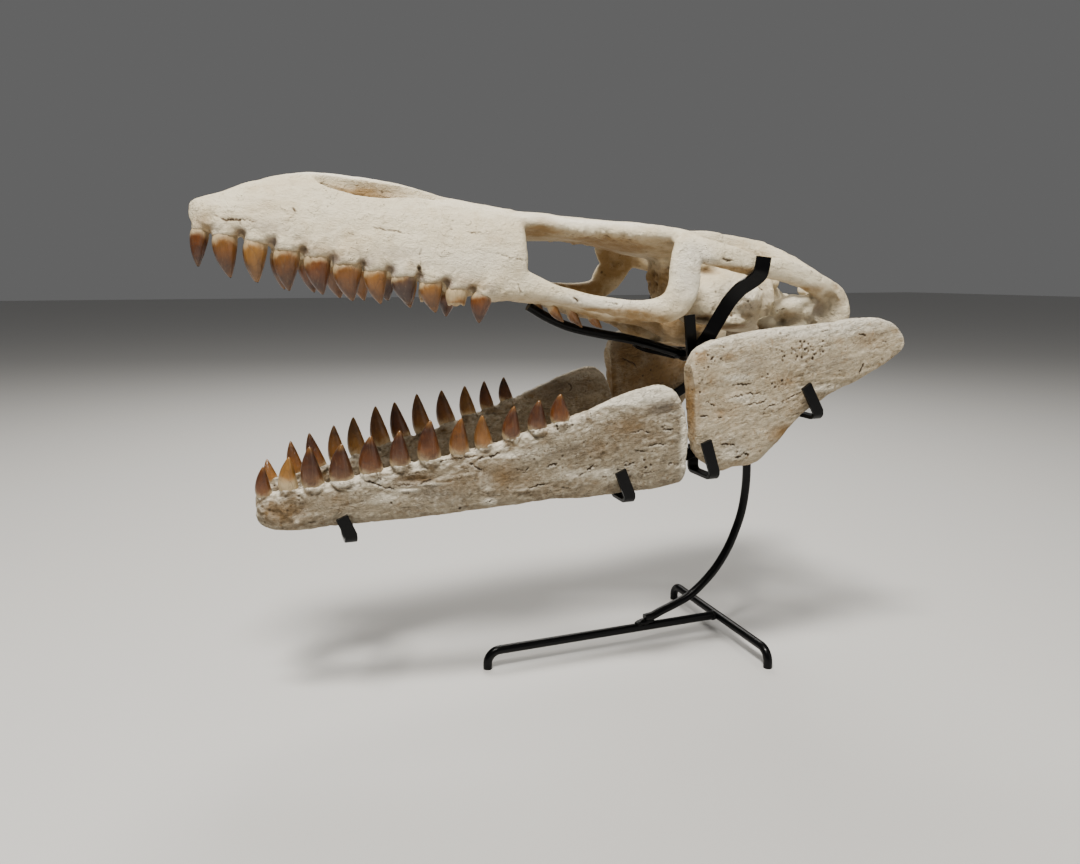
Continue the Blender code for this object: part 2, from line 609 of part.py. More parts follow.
def build_postdentaries(parts, cutters):
    """Toothless rear halves of the lower jaw."""
    bm = bmesh.new()
    rings = []
    for x in POST_STATIONS:
        outer = POST_OUTER[0] + POST_OUTER[1] * (x - 104)
        thick = POST_THICK(x)
        top = POST_TOP(x)
        bottom = POST_BOTTOM(x)
        ring = []
        for y, z in superellipse(16, thick / 2, (top - bottom) / 2, 3.6):
            height = (top + bottom) / 2 + z
            low = (POST_LEAN_Z[1] - height) / (POST_LEAN_Z[1] - POST_LEAN_Z[0])
            front = (POST_LEAN_END - x) / (POST_LEAN_END - POST_STATIONS[0])
            lean = POST_LEAN * min(max(low, 0), 1) * max(0, front)
            ring.append((x + lean, thick / 2 + y - outer, height))
        rings.append(ring)
    skin(bm, rings)
    mesh = fuse(bm, "postdentary_left", POSTDENTARY_VOXEL, POSTDENTARY_TRIANGLES, cutters)
    new_object("postdentary_left", mesh, parts, JAW_BONE)
    new_object("postdentary_right", mirrored(mesh, "postdentary_right"), parts, JAW_BONE)


def rod(name, points, parts):
    """A round rod along the points, with closed ends."""
    curve = bpy.data.curves.new(name, "CURVE")
    curve.dimensions = "3D"
    curve.bevel_depth = ROD * MM
    curve.bevel_resolution = 2
    curve.use_fill_caps = True
    spline = curve.splines.new("POLY")
    spline.points.add(len(points) - 1)
    for knot, point in zip(spline.points, points):
        knot.co = (*[c * MM for c in point], 1)
    return new_object(name, curve, parts, BLACK_PAINT)


def build_base(parts):
    """Long bar and cross bar, whose ends bend down into three feet, and the post."""
    turns = [math.pi / 2 * k / BEND_STEPS for k in range(BEND_STEPS + 1)]
    bend = [(math.sin(turn), 1 - math.cos(turn)) for turn in turns]
    front = [(BASE_FRONT + BEND - BEND * along, 0, BASE_Z - BEND * drop) for along, drop in bend]
    rear = BASE_REAR - ROD - GAP
    rod("stand_base_bar", [(rear, 0, BASE_Z)] + front + [(BASE_FRONT, 0, 0)], parts)
    near = [(BASE_REAR, -(BASE_HALF - BEND + BEND * along), BASE_Z - BEND * drop)
            for along, drop in bend]
    cross = [(BASE_REAR, -BASE_HALF, 0)] + near[::-1] + [(x, -y, z) for x, y, z in near]
    rod("stand_cross_bar", cross + [(BASE_REAR, BASE_HALF, 0)], parts)
    rod("stand_post", [(x, 0, z) for x, z in POST_ROD], parts)


def strap(name, path, parts, wide=Vector((1, 0, 0)), half=STRAP_HALF):
    """A flat steel strap along the path, with its broad side in the wide direction."""
    bm = bmesh.new()
    centres = [Vector(point) for point in path]
    rings = []
    for i, centre in enumerate(centres):
        ahead = (centres[min(i + 1, len(path) - 1)] - centres[max(i - 1, 0)]).normalized()
        across = (wide - ahead * wide.dot(ahead)).normalized() * half
        up = ahead.cross(across).normalized() * STRAP_THIN
        rings.append([centre + across + up, centre - across + up, centre - across - up,
                      centre + across - up])
    skin(bm, rings)
    return new_object(name, mesh_of(bm, name), parts, BLACK_PAINT)


def build_straps(parts):
    """Straps that hold the cranium and the rails, links and hooks that hold the jaws."""
    for side, word in ((1, "left"), (-1, "right")):
        def place(path):
            return [(x, y * side, z) for x, y, z in path]
        wide = Vector((math.cos(ARCH_STRAP_TURN), -side * math.sin(ARCH_STRAP_TURN), 0))
        strap(f"stand_arch_strap_{word}", place(ARCH_STRAP), parts, wide, ARCH_STRAP_HALF)
        strap(f"stand_palate_strap_{word}", place(PTERYGOID_STRAP), parts)
        rail = [(x, RAIL_INSET - jaw_row(x), z) for x, z in RAIL_FRONT] + list(RAIL_REAR)
        strap(f"stand_jaw_rail_{word}", place(rail), parts, Vector((0, 0, 1)))
        for letter, (x_in, x_out, y_in, y_out, z_in, z_low, z_out) in HOOKS.items():
            turn = HOOK_TURN
            part_way = turn * (1 - math.cos(math.pi / 4))
            path = [(x_in, y_in, z_in), (x_in, y_in, z_low + turn),
                    (x_in, y_in - part_way, z_low + part_way), (x_in, y_in - turn, z_low),
                    (x_in, y_out + turn, z_low), (x_in, y_out + part_way, z_low + part_way),
                    (x_in, y_out, z_low + turn), (x_out, y_out, z_out)]
            strap(f"stand_hook_{letter}_{word}", place(path), parts)
        strap(f"stand_rear_link_{word}", place([(REAR_LINK_X, y, z) for y, z in REAR_LINK]), parts)
    x, half, z = FRONT_LINK
    strap("stand_front_link", [(x, -half, z), (x, 0, z), (x, half, z)], parts)


def main():
    """Build every piece of the skull and its stand."""
    for obj in list(bpy.data.objects):
        bpy.data.objects.remove(obj)
    parts = bpy.data.collections.new("mosasaur_skull")
    cutters = bpy.data.collections.new("cutters")
    for collection in (parts, cutters):
        bpy.context.scene.collection.children.link(collection)
    build_cranium(parts, cutters)
    build_dentaries(parts, cutters)
    build_postdentaries(parts, cutters)
    build_base(parts)
    build_straps(parts)
    for obj in list(cutters.objects):
        bpy.data.objects.remove(obj)
    for obj in parts.objects:
        obj.data.transform(Matrix.Translation((-MIDDLE_X * MM, 0, 0)))


main()
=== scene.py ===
"""Looks of a mosasaur skull with gaping jaws on its bent-rod steel stand.

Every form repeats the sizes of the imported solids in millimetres, at a fine mesh, and adds what
the solids leave out: sockets, cracks, pits, lumps, enamel, welds and the finish of each surface.
The snout points along -X, the animal's left side is -Y, and the feet stand on Z = 0.
"""

import logging
import math
from dataclasses import dataclass
from enum import Enum
from itertools import product
from typing import Any, Callable, Iterable, Sequence

import bmesh
import bpy
import numpy as np
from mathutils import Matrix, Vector
from mathutils.bvhtree import BVHTree
from mathutils.kdtree import KDTree

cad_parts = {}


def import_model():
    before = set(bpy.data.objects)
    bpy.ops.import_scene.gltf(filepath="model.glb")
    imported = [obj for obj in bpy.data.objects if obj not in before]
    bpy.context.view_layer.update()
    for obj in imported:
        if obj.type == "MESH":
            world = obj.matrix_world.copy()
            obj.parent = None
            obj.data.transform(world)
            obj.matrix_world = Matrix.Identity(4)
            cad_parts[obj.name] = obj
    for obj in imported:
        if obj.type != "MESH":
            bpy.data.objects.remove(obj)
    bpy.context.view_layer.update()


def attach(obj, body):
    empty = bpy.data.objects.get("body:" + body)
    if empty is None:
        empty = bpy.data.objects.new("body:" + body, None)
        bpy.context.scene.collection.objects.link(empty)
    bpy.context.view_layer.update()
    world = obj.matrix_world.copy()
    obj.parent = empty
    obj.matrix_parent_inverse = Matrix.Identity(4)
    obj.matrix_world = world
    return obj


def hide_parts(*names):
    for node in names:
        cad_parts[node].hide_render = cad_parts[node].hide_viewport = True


MM = 0.001
MIDDLE_X = -6.0  # middle of the whole mount's length, which lies at x = 0 in the frame
BODY = "root"
# Besides real staining, grey and wear, these values paint shade on undersides, inner faces and in hollows,
# and paint highlights on tops and edges.
PAINTS = ("stain_and_shade", "grey", "rub_and_highlight", "painted_shade_and_dirt")  # values painted on a bone for its finish to read
CAST_FROM = 300  # how far out a crack is cast onto a bone from
CRACK_STEP = 0.6  # from one of the dents that make up a crack to the next

Array = np.ndarray
Material = bpy.types.Material
Mesh = bpy.types.Mesh
Thing = bpy.types.Object
Colour = tuple[float, float, float]
Pair = tuple[float, float]
Point = tuple[float, float, float]
Row = tuple[float, ...]
Stations = Sequence[Sequence[float]]

logging.basicConfig(level=logging.INFO, format="%(message)s")
LOG = logging.getLogger("mosasaur")


class Side(Enum):
    """Which side of the middle plane a piece is on; the value is the sign of its y."""

    LEFT = -1
    RIGHT = 1

    @property
    def word(self) -> str:
        """Lower-case name for a piece's name."""
        return self.name.lower()


class Slot(Enum):
    """Material slots of the record."""

    SKULL = "skull_bone"
    JAW = "jaw_bone"
    ENAMEL = "tooth_enamel"
    PAINT = "stand_paint"


class Tone(Enum):
    """Enamel tones; the value is (share of grey, share of tan, darkness)."""

    AMBER = (0.0, 0.3, 0.36)
    ORANGE = (0.0, 0.5, 0.15)
    RED = (0.0, 0.0, 0.42)
    TAN = (0.0, 0.85, 0.2)
    CREAM = (0.0, 1.0, 0.02)
    GREY = (0.85, 0.1, 0.3)
    PURPLE = (0.4, 0.0, 0.62)
    BROWN = (0.1, 0.0, 0.6)


# ---- shapes


class Profile:
    """A smooth curve through (position, value) knots that never swings past them."""

    def __init__(self, *knots: Pair) -> None:
        """Work out the slope at each knot.

        Args:
            knots: positions in rising order, each with its value.
        """
        self.at = np.array([k[0] for k in knots], float)
        self.value = np.array([k[1] for k in knots], float)
        rise = np.diff(self.value) / np.diff(self.at)
        slope = np.concatenate([[rise[0]], np.zeros(len(rise) - 1), [rise[-1]]])
        for i in range(1, len(rise)):
            if rise[i - 1] * rise[i] > 0:
                slope[i] = 2 * rise[i - 1] * rise[i] / (rise[i - 1] + rise[i])
        self.slope = slope

    def __call__(self, x: float) -> float:
        """Value of the curve at x, held constant outside the knots.

        Args:
            x: the position.

        Returns:
            The value there.
        """
        x = min(max(x, self.at[0]), self.at[-1])
        i = min(int(np.searchsorted(self.at, x, side="right")) - 1, len(self.at) - 2)
        width = self.at[i + 1] - self.at[i]
        t = (x - self.at[i]) / width
        start = (1 + 2 * t) * (1 - t) ** 2 * self.value[i] + t * (1 - t) ** 2 * width * self.slope[i]
        end = t * t * (3 - 2 * t) * self.value[i + 1] + t * t * (t - 1) * width * self.slope[i + 1]
        return float(start + end)

    def straight(self, x: Array) -> Array:
        """Values at many positions, along straight lines between the knots."""
        return np.interp(x, self.at, self.value)


def superellipse(count: int, half_y: float, half_z: float, power: float = 2.0) -> list[Pair]:
    """Points round a section, from power 2, an ellipse, towards a rounded box.

    Args:
        count: how many points.
        half_y: half width.
        half_z: half height.
        power: squareness.

    Returns:
        The points as (y, z).
    """
    points = []
    for i in range(count):
        c = math.cos(2 * math.pi * i / count)
        s = math.sin(2 * math.pi * i / count)
        points.append((math.copysign(abs(c) ** (2 / power), c) * half_y,
                       math.copysign(abs(s) ** (2 / power), s) * half_z))
    return points


def spread(stations: Sequence[float], parts: int) -> list[float]:
    """Even steps between the stations.

    Args:
        stations: rising positions.
        parts: steps in each stretch.

    Returns:
        All positions, the stations among them.
    """
    out = [stations[0]]
    for a, b in zip(stations, stations[1:]):
        out += [a + (b - a) * k / parts for k in range(1, parts + 1)]
    return out


def follow(stations: Stations, parts: int) -> list[Array]:
    """Rows of numbers along a smooth curve through the stations, by Catmull-Rom.

    Args:
        stations: rows to pass through.
        parts: steps in each stretch.

    Returns:
        The rows along the curve.
    """
    rows = np.array(stations, float)
    padded = np.vstack([2 * rows[0] - rows[1], rows, 2 * rows[-1] - rows[-2]])
    out = []
    for i in range(1, len(padded) - 2):
        a, b, c, d = padded[i - 1:i + 3]
        for k in range(parts):
            t = k / parts
            out.append(0.5 * (2 * b + (c - a) * t + (2 * a - 5 * b + 4 * c - d) * t * t
                              + (3 * b - a - 3 * c + d) * t ** 3))
    return out + [rows[-1]]


def framed(centres: Sequence[Vector], wide: Vector) -> list[tuple[Vector, Vector, Vector]]:
    """Directions that a section lies in, all along a path.

    Args:
        centres: points of the path.
        wide: direction that the section's first side keeps to.

    Returns:
        At each point, the point itself and the section's two directions.
    """
    frames = []
    for i, centre in enumerate(centres):
        ahead = (centres[min(i + 1, len(centres) - 1)] - centres[max(i - 1, 0)]).normalized()
        across = (wide - ahead * wide.dot(ahead)).normalized()
        frames.append((centre, across, ahead.cross(across)))
    return frames


def mirrored(stations: Stations, side: Side) -> list[Row]:
    """Stations of (x, y, z, ...) with y on the given side."""
    return [(row[0], row[1] * side.value, *row[2:]) for row in stations]


def framewise(place: Sequence[float]) -> Vector:
    """A place of the form's millimetres in the frame's metres."""
    return (Vector(place) - Vector((MIDDLE_X, 0, 0))) * MM


class Form:
    """A working mesh, in millimetres, to which closed shapes are added."""

    def __init__(self) -> None:
        """Start empty."""
        self.bm = bmesh.new()

    def skin(self, rings: Iterable[Stations]) -> None:
        """Close a skin over rings that have equally many points, with a face on each end.

        Args:
            rings: the sections, in order.
        """
        rows = [[self.bm.verts.new(Vector(p)) for p in ring] for ring in rings]
        faces = [self.bm.faces.new(rows[0]), self.bm.faces.new(rows[-1])]
        for near, far in zip(rows, rows[1:]):
            for i in range(len(near)):
                j = (i + 1) % len(near)
                faces.append(self.bm.faces.new((near[i], near[j], far[j], far[i])))
        bmesh.ops.recalc_face_normals(self.bm, faces=faces)

    def sweep(self, stations: Stations, parts: int = 5, count: int = 20, power: float = 2.2,
              wide: Vector = Vector((0, 1, 0))) -> None:
        """Add a bar along a path.

        Args:
            stations: rows of x, y, z, half depth and half thickness.
            parts: steps between stations.
            count: points round the section.
            power: squareness of the section.
            wide: direction along which the thickness is measured.
        """
        rows = follow(stations, parts)
        frames = framed([Vector(row[:3]) for row in rows], wide)
        self.skin([centre + across * p + up * q for p, q in superellipse(count, row[4], row[3], power)]
                  for row, (centre, across, up) in zip(rows, frames))

    def ball(self, centre: Sequence[float], radii: Sequence[float]) -> None:
        """Add an ellipsoid with these radii along X, Y and Z.

        Args:
            centre: its middle.
            radii: its half sizes.
        """
        made = bmesh.ops.create_icosphere(self.bm, subdivisions=3, radius=1)
        for vert in made["verts"]:
            vert.co = Vector(centre) + Vector([c * r for c, r in zip(vert.co, radii)])

    def box(self, x: Sequence[float], y: Sequence[float], z: Sequence[float]) -> None:
        """Add a block between these pairs of limits."""
        self.skin([[(end, y[0], z[0]), (end, y[1], z[0]), (end, y[1], z[1]), (end, y[0], z[1])]
                   for end in x])

    def mesh(self) -> Mesh:
        """Write the shapes as mesh data in the frame's metres, and drop the working mesh.

        Returns:
            The mesh data.
        """
        for vert in self.bm.verts:
            vert.co = framewise(vert.co)
        mesh = bpy.data.meshes.new("form")
        self.bm.to_mesh(mesh)
        self.bm.free()
        return mesh


def add_object(name: str, data: bpy.types.ID) -> Thing:
    """An object at the origin that shows this data.

    Args:
        name: the object's name.
        data: what it shows.

    Returns:
        The object.
    """
    obj = bpy.data.objects.new(name, data)
    bpy.context.scene.collection.objects.link(obj)
    return obj


def evaluated(obj: Thing) -> Mesh:
    """A plain mesh of the object with its modifiers applied; the object is removed.

    Args:
        obj: the object.

    Returns:
        The mesh.
    """
    bpy.context.view_layer.update()
    graph = bpy.context.evaluated_depsgraph_get()
    mesh = bpy.data.meshes.new_from_object(obj.evaluated_get(graph))
    bpy.data.objects.remove(obj)
    return mesh


def store(mesh: Mesh, name: str, values: Any) -> None:
    """Keep values on the points of a mesh.

    Args:
        mesh: the mesh.
        name: the attribute's name.
        values: a number, or a row of three, for each point.
    """
    rows = np.asarray(values, np.float32)
    kind, key = ("FLOAT", "value") if rows.ndim == 1 else ("FLOAT_VECTOR", "vector")
    mesh.attributes.new(name, kind, "POINT").data.foreach_set(key, rows.ravel())


def modify(obj: Thing, kind: str, **settings: Any) -> bpy.types.Modifier:
    """Add a modifier.

    Args:
        obj: what it changes.
        kind: its type.
        settings: its properties.

    Returns:
        The modifier.
    """
    made = obj.modifiers.new(kind.title(), kind)
    for key, value in settings.items():
        setattr(made, key, value)
    return made


@dataclass(frozen=True)
class Melt:
    """How overlapping forms are melted into one skin.

    Attributes:
        voxel: grain of the finished skin, in millimetres.
        rough_voxel: grain of the first pass, which the hollows are cut from.
        softening: smoothing passes at the end.
    """

    voxel: float
    rough_voxel: float = 2.2
    softening: int = 3
    quick_share: float = 1.6

    def __call__(self, form: Form, hollows: Sequence[Form] = ()) -> Mesh:
        """Melt a form and cut its hollows.

        Args:
            form: the overlapping shapes.
            hollows: forms to take away.

        Returns:
            The finished skin.
        """
        grain = self.voxel * 1.0
        obj = add_object("form", form.mesh())
        if hollows:
            modify(obj, "REMESH", mode="VOXEL", voxel_size=max(self.rough_voxel, grain) * MM)
        cutters = [add_object("hollow", hollow.mesh()) for hollow in hollows]
        for cutter in cutters:
            modify(obj, "BOOLEAN", operation="DIFFERENCE", solver="EXACT", object=cutter)
        modify(obj, "REMESH", mode="VOXEL", voxel_size=grain * MM)
        modify(obj, "SMOOTH", factor=0.5, iterations=self.softening)
        mesh = evaluated(obj)
        for cutter in cutters:
            bpy.data.objects.remove(cutter)
        return mesh


def lattice_noise(points: Array, cell: float | Sequence[float], seed: int) -> Array:
    """Smooth noise between -1 and 1.

    Args:
        points: rows of x, y, z in millimetres.
        cell: size of a feature, or its size along each axis.
        seed: picks the pattern.

    Returns:
        One value for each point.
    """
    grid = points / np.asarray(cell, float)
    base = np.floor(grid).astype(np.int64)
    t = grid - base
    t = t * t * (3 - 2 * t)
    total = np.zeros(len(points))
    for corner in product((0, 1), repeat=3):
        at = base + np.array(corner)
        key = at[:, 0] * 73856093 ^ at[:, 1] * 19349663 ^ at[:, 2] * 83492791 ^ (seed * 15485863)
        key = (key ^ (key >> 13)) * 1274126177
        key ^= key >> 16
        value = (key & 0xFFFF) / 32767.5 - 1
        total += value * np.prod(np.where(np.array(corner) == 1, t, 1 - t), axis=1)
    return total


@dataclass(frozen=True)
class Crack:
    """A crack down a side face of a bone.

    Attributes:
        path: its turns as (x, z) seen from the side.
        width: half its width.
        depth: how deep it is.
        inner: whether it is on the face towards the middle plane.
    """

    path: tuple[Pair, ...]
    width: float = 1.4
    depth: float = 0.9
    inner: bool = False


@dataclass(frozen=True)
class Patch:
    """A soft-edged place on a skin, the same on either side.

    Attributes:
        centre: its middle, with Y counted from the middle plane.
        radii: how far it reaches along X, Y and Z.
        amount: its strength in the middle.
        inner: whether it keeps to faces turned towards the middle plane.
    """

    centre: Point
    radii: Point
    amount: float = 1.0
    inner: bool = False

    def weight(self, points: Array, side: Side) -> Array:
        """Strength at each point, smooth from the middle to the edge.

        Args:
            points: where to read it.
            side: left or right.

        Returns:
            A value from 0 to 1 for each point.
        """
        centre = np.array(self.centre) * (1, side.value, 1)
        away = np.linalg.norm((points - centre) / np.array(self.radii), axis=1)
        inside = np.clip(1 - away, 0, 1)
        return self.amount * inside * inside * (3 - 2 * inside)


@dataclass(frozen=True)
class Marks:
    """Relief and colour at chosen places of one bone.

    Attributes:
        dents: places pushed in, or out where the amount is below zero.
        rough: broken, lumpy places.
        stains_and_shade: brown places, of iron staining and of painted shade.
        greys: grey places.
        rubs_and_highlights: pale places, of rubbed wear and of painted highlights.
        pitted: places with many pits.
        cracks: cracks.
    """

    dents: tuple[Patch, ...] = ()
    rough: tuple[Patch, ...] = ()
    stains_and_shade: tuple[Patch, ...] = ()
    greys: tuple[Patch, ...] = ()
    rubs_and_highlights: tuple[Patch, ...] = ()
    pitted: tuple[Patch, ...] = ()
    cracks: tuple[Crack, ...] = ()


def patches(*rows: Sequence[float]) -> tuple[Patch, ...]:
    """Patches from rows of centre, radii and amount, with a 1 after them for an inner one."""
    return tuple(Patch(row[:3], row[3:6], row[6], len(row) > 7) for row in rows)


def cracks(*rows: Sequence[float], inner: bool = False) -> tuple[Crack, ...]:
    """Cracks from rows of half width, depth, and the x and z of each turn."""
    return tuple(Crack(tuple(zip(row[2::2], row[3::2])), row[0], row[1], inner) for row in rows)


class Surface:
    """A fine skin whose points are pushed and painted, in the form's millimetres."""

    def __init__(self, mesh: Mesh, seed: int) -> None:
        """Read the mesh.

        Args:
            mesh: a closed skin in the frame's metres.
            seed: picks every random pattern on it.
        """
        self.mesh = mesh
        self.seed = seed
        self.random = np.random.default_rng(seed)
        count = len(mesh.vertices)
        flat = np.empty(count * 3, np.float64)
        mesh.vertices.foreach_get("co", flat)
        self.points = flat.reshape(count, 3) / MM + np.array((MIDDLE_X, 0, 0))
        ends = np.empty(len(mesh.edges) * 2, np.int64)
        mesh.edges.foreach_get("vertices", ends)
        self.ends = ends.reshape(-1, 2)
        self.valence = np.bincount(self.ends.ravel(), minlength=count).astype(float)
        self.paint = {name: np.zeros(count) for name in PAINTS}
        self.refresh()

    def refresh(self) -> None:
        """Write the points back and work the normals and the search trees out again."""
        there = (self.points - np.array((MIDDLE_X, 0, 0))) * MM
        self.mesh.vertices.foreach_set("co", there.ravel())
        self.mesh.update()
        flat = np.empty(len(self.points) * 3, np.float64)
        self.mesh.vertices.foreach_get("normal", flat)
        self.normals = flat.reshape(-1, 3)
        self.tree = KDTree(len(self.points))
        for i, point in enumerate(self.points):
            self.tree.insert(point, i)
        self.tree.balance()
        whole = bmesh.new()
        whole.from_mesh(self.mesh)
        self.faces = BVHTree.FromBMesh(whole)
        whole.free()

    def push(self, amount: Array) -> None:
        """Move each point along its normal by this many millimetres."""
        self.points = self.points + self.normals * amount[:, None]

    def averaged(self, values: Array, passes: int) -> Array:
        """Rows of values smoothed over their neighbours.

        Args:
            values: a row for each point.
            passes: how often to smooth.

        Returns:
            The smoothed rows.
        """
        a, b = self.ends.T
        count = len(self.points)
        for _ in range(passes):
            total = np.stack([np.bincount(a, v[b], count) + np.bincount(b, v[a], count)
                              for v in values.T], axis=1)
            values = 0.5 * values + 0.5 * total / self.valence[:, None]
        return values

    def hollowness(self, passes: int) -> Array:
        """How far each point lies below its smoothed surroundings, in millimetres."""
        return ((self.averaged(self.points, passes) - self.points) * self.normals).sum(axis=1)

    def noise(self, cell: float | Sequence[float], layer: int, slope: float = 0.0) -> Array:
        """Values from -1 to 1 in features of this size; the layer picks them, and they rise along X."""
        sheared = self.points - np.outer(self.points[:, 0], (0, 0, slope))
        return lattice_noise(sheared, cell, self.seed * 31 + layer)

    def weigh(self, patches: Iterable[Patch], side: Side) -> Array:
        """Sum of the patches' strengths at every point.

        Args:
            patches: the places.
            side: left or right.

        Returns:
            A value for each point.
        """
        total = np.zeros(len(self.points))
        inward = np.clip(-side.value * self.normals[:, 1] * 2, 0, 1)
        for patch in patches:
            total += patch.weight(self.points, side) * (inward if patch.inner else 1)
        return total

    def lower(self, deep: Array, point: Sequence[float], radius: float, depth: float) -> None:
        """Deepen the values round a point, most in its middle.

        Args:
            deep: the depths so far, changed in place.
            point: the middle.
            radius: how far it reaches.
            depth: how deep the middle gets.
        """
        found = self.tree.find_range(Vector(point), radius)
        index = np.array([f[1] for f in found], int)
        away = np.array([f[2] for f in found])
        deep[index] = np.maximum(deep[index], depth * (1 - (away / radius) ** 2))

    def pits(self, count: int, radius: Pair, depth: float, chance: Array) -> Array:
        """Small round pits at random places.

        Args:
            count: how many are tried.
            radius: least and greatest radius.
            depth: depth of the largest.
            chance: the chance of a pit at each point.

        Returns:
            How deep each point lies in a pit.
        """
        deep = np.zeros(len(self.points))
        chosen = self.random.integers(0, len(self.points), count)
        for i in chosen[self.random.random(count) < chance[chosen]]:
            size = radius[0] + (radius[1] - radius[0]) * self.random.random() ** 3
            self.lower(deep, self.points[i], size, depth * self.random.uniform(0.3, 1) * size / radius[1])
        return deep

    def crack(self, deep: Array, crack: Crack, side: Side) -> None:
        """Deepen the values along one crack on a face of the given side.

        Args:
            deep: the depths so far, changed in place.
            crack: the crack.
            side: left or right.
        """
        face = -side.value if crack.inner else side.value
        start = 0 if crack.inner else side.value * CAST_FROM
        rows = np.array(crack.path, float)
        reach = np.concatenate([[0], np.cumsum(np.linalg.norm(np.diff(rows, axis=0), axis=1))])
        drift = 0.0
        open_share = 1.0
        for along in np.arange(0, reach[-1], CRACK_STEP):
            x = np.interp(along, reach, rows[:, 0])
            drift = 0.8 * drift + self.random.normal() * 0.35
            open_share = min(max(open_share + self.random.normal() * 0.22, 0.28), 1)
            origin = framewise((x, start, np.interp(along, reach, rows[:, 1]) + drift))
            hit = self.faces.ray_cast(origin, Vector((0, -face, 0)))[0]
            if hit is not None:
                fade = min(1, 0.3 + 4 * min(along, reach[-1] - along) / reach[-1])
                width = crack.width * (0.6 + 0.4 * self.random.random()) * (0.6 + 0.6 * open_share)
                self.lower(deep, hit / MM + Vector((MIDDLE_X, 0, 0)), width,
                           crack.depth * fade * open_share)

    def loose_cracks(self, count: int, x: Pair, edges: tuple[Profile, Profile],
                     slope: float) -> list[Crack]:
        """Random long cracks on both faces.

        Args:
            count: how many.
            x: where they may start and end.
            edges: the bone's bottom and top edge.
            slope: rise along X.

        Returns:
            The cracks.
        """
        made = []
        for i in range(count):
            start = self.random.uniform(*x)
            length = 4 + 26 * self.random.random() ** 2
            share = self.random.uniform(0.1, 0.9)
            middle = edges[0](start) * (1 - share) + edges[1](start) * share
            bends = self.random.normal(0, 0.9, 3)
            path = tuple((start + length * k / 2, middle + slope * length * k / 2 + bends[k])
                         for k in range(3))
            made.append(Crack(path, self.random.uniform(0.75, 1.05), self.random.uniform(0.2, 0.65),
                              i % 3 == 0))
        return made

    def mark(self, marks: Marks, side: Side) -> None:
        """Push the dents of one side and paint its coloured places, painted shade and highlights among them.

        Args:
            marks: the dents and the coloured places.
            side: left or right.
        """
        lumps = 1.5 * self.noise(9, 21) + 1.0 * self.noise(4.6, 22) + 0.5 * self.noise(2.6, 23)
        self.push(self.weigh(marks.rough, side) * lumps - self.weigh(marks.dents, side))
        for name, patches in (("stain_and_shade", marks.stains_and_shade), ("grey", marks.greys), ("rub_and_highlight", marks.rubs_and_highlights)):
            self.paint[name] += self.weigh(patches, side)

    def carve(self, deep: Array) -> None:
        """Sink the skin by these depths and darken what is sunk, with grime and painted shade."""
        self.push(-deep)
        # Painted shade and grime in the sunk cracks and pits.
        self.paint["painted_shade_and_dirt"] += np.clip(deep, 0, 1) * 0.85

    def finish(self) -> Mesh:
        """Write the points and the painted values, shade smooth and give the mesh.

        Returns:
            The mesh.
        """
        self.refresh()
        for name, values in self.paint.items():
            store(self.mesh, name, np.clip(values, 0, 1))
        self.mesh.shade_smooth()
        return self.mesh


def thinned(mesh: Mesh, limit: int) -> Mesh:
    """The mesh with fewer triangles than the limit, kept fine where its shape is busy.

    Args:
        mesh: the mesh.
        limit: the most triangles it may have.

    Returns:
        The mesh to keep.
    """
    total = sum(len(p.vertices) - 2 for p in mesh.polygons)
    if total < limit:
        return mesh
    obj = add_object("form", mesh)
    modify(obj, "DECIMATE", ratio=limit / total)
    return evaluated(obj)


# ---- finishes


class Socket:
    """A node's output that adds and multiplies like a number."""

    def __init__(self, graph: "Graph", output: bpy.types.NodeSocket) -> None:
        """Wrap the output of a node in this graph."""
        self.graph = graph
        self.output = output

    def __add__(self, other: Any) -> "Socket":
        """Sum with a number or socket."""
        return self.graph.math("ADD", self, other)

    def __sub__(self, other: Any) -> "Socket":
        """Difference from a number or socket."""
        return self.graph.math("SUBTRACT", self, other)

    def __rsub__(self, other: Any) -> "Socket":
        """A number less this socket."""
        return self.graph.math("SUBTRACT", other, self)

    def __mul__(self, other: Any) -> "Socket":
        """Product with a number or socket."""
        return self.graph.math("MULTIPLY", self, other)

    __radd__ = __add__
    __rmul__ = __mul__

    def size(self) -> "Socket":
        """The value without its sign."""
        return self.graph.math("ABSOLUTE", self)

    def above(self, low: float, high: float) -> "Socket":
        """A smooth step from 0 at low to 1 at high."""
        return self.graph.node("ShaderNodeMapRange", {"interpolation_type": "SMOOTHSTEP"},
                               {"Value": self, "From Min": low, "From Max": high})

    def clamped(self) -> "Socket":
        """The value held between 0 and 1."""
        return self.graph.node("ShaderNodeClamp", {}, {"Value": self})

    def parts(self) -> list["Socket"]:
        """The X, Y and Z of a vector."""
        made = self.graph.node("ShaderNodeSeparateXYZ", {}, {0: self})
        return [Socket(self.graph, output) for output in made.output.node.outputs]


class Graph:
    """A node tree, written as expressions."""

    def __init__(self, tree: bpy.types.NodeTree) -> None:
        """Work in this tree."""
        self.tree = tree

    def node(self, kind: str, settings: dict[str, Any], values: dict[Any, Any],
             result: int | str = 0) -> Socket:
        """Add any node.

        Args:
            kind: the node's type.
            settings: its properties.
            values: numbers, colours or sockets for its inputs.
            result: which output to give back.

        Returns:
            The chosen output.
        """
        made = self.tree.nodes.new(kind)
        for key, value in settings.items():
            setattr(made, key, value)
        for key, value in values.items():
            self.feed(made.inputs[key], value)
        return Socket(self, made.outputs[result])

    def math(self, operation: str, a: Any, b: Any = 0.0) -> Socket:
        """Join two values with a Math node."""
        return self.node("ShaderNodeMath", {"operation": operation}, {0: a, 1: b})

    def feed(self, entry: bpy.types.NodeSocket, value: Any) -> None:
        """Give an input its value.

        Args:
            entry: the input.
            value: a socket to link to it, or a number, vector or colour.
        """
        if isinstance(value, Socket):
            self.tree.links.new(value.output, entry)
        elif isinstance(value, tuple) and entry.type == "RGBA":
            entry.default_value = (*value, 1)
        else:
            entry.default_value = value


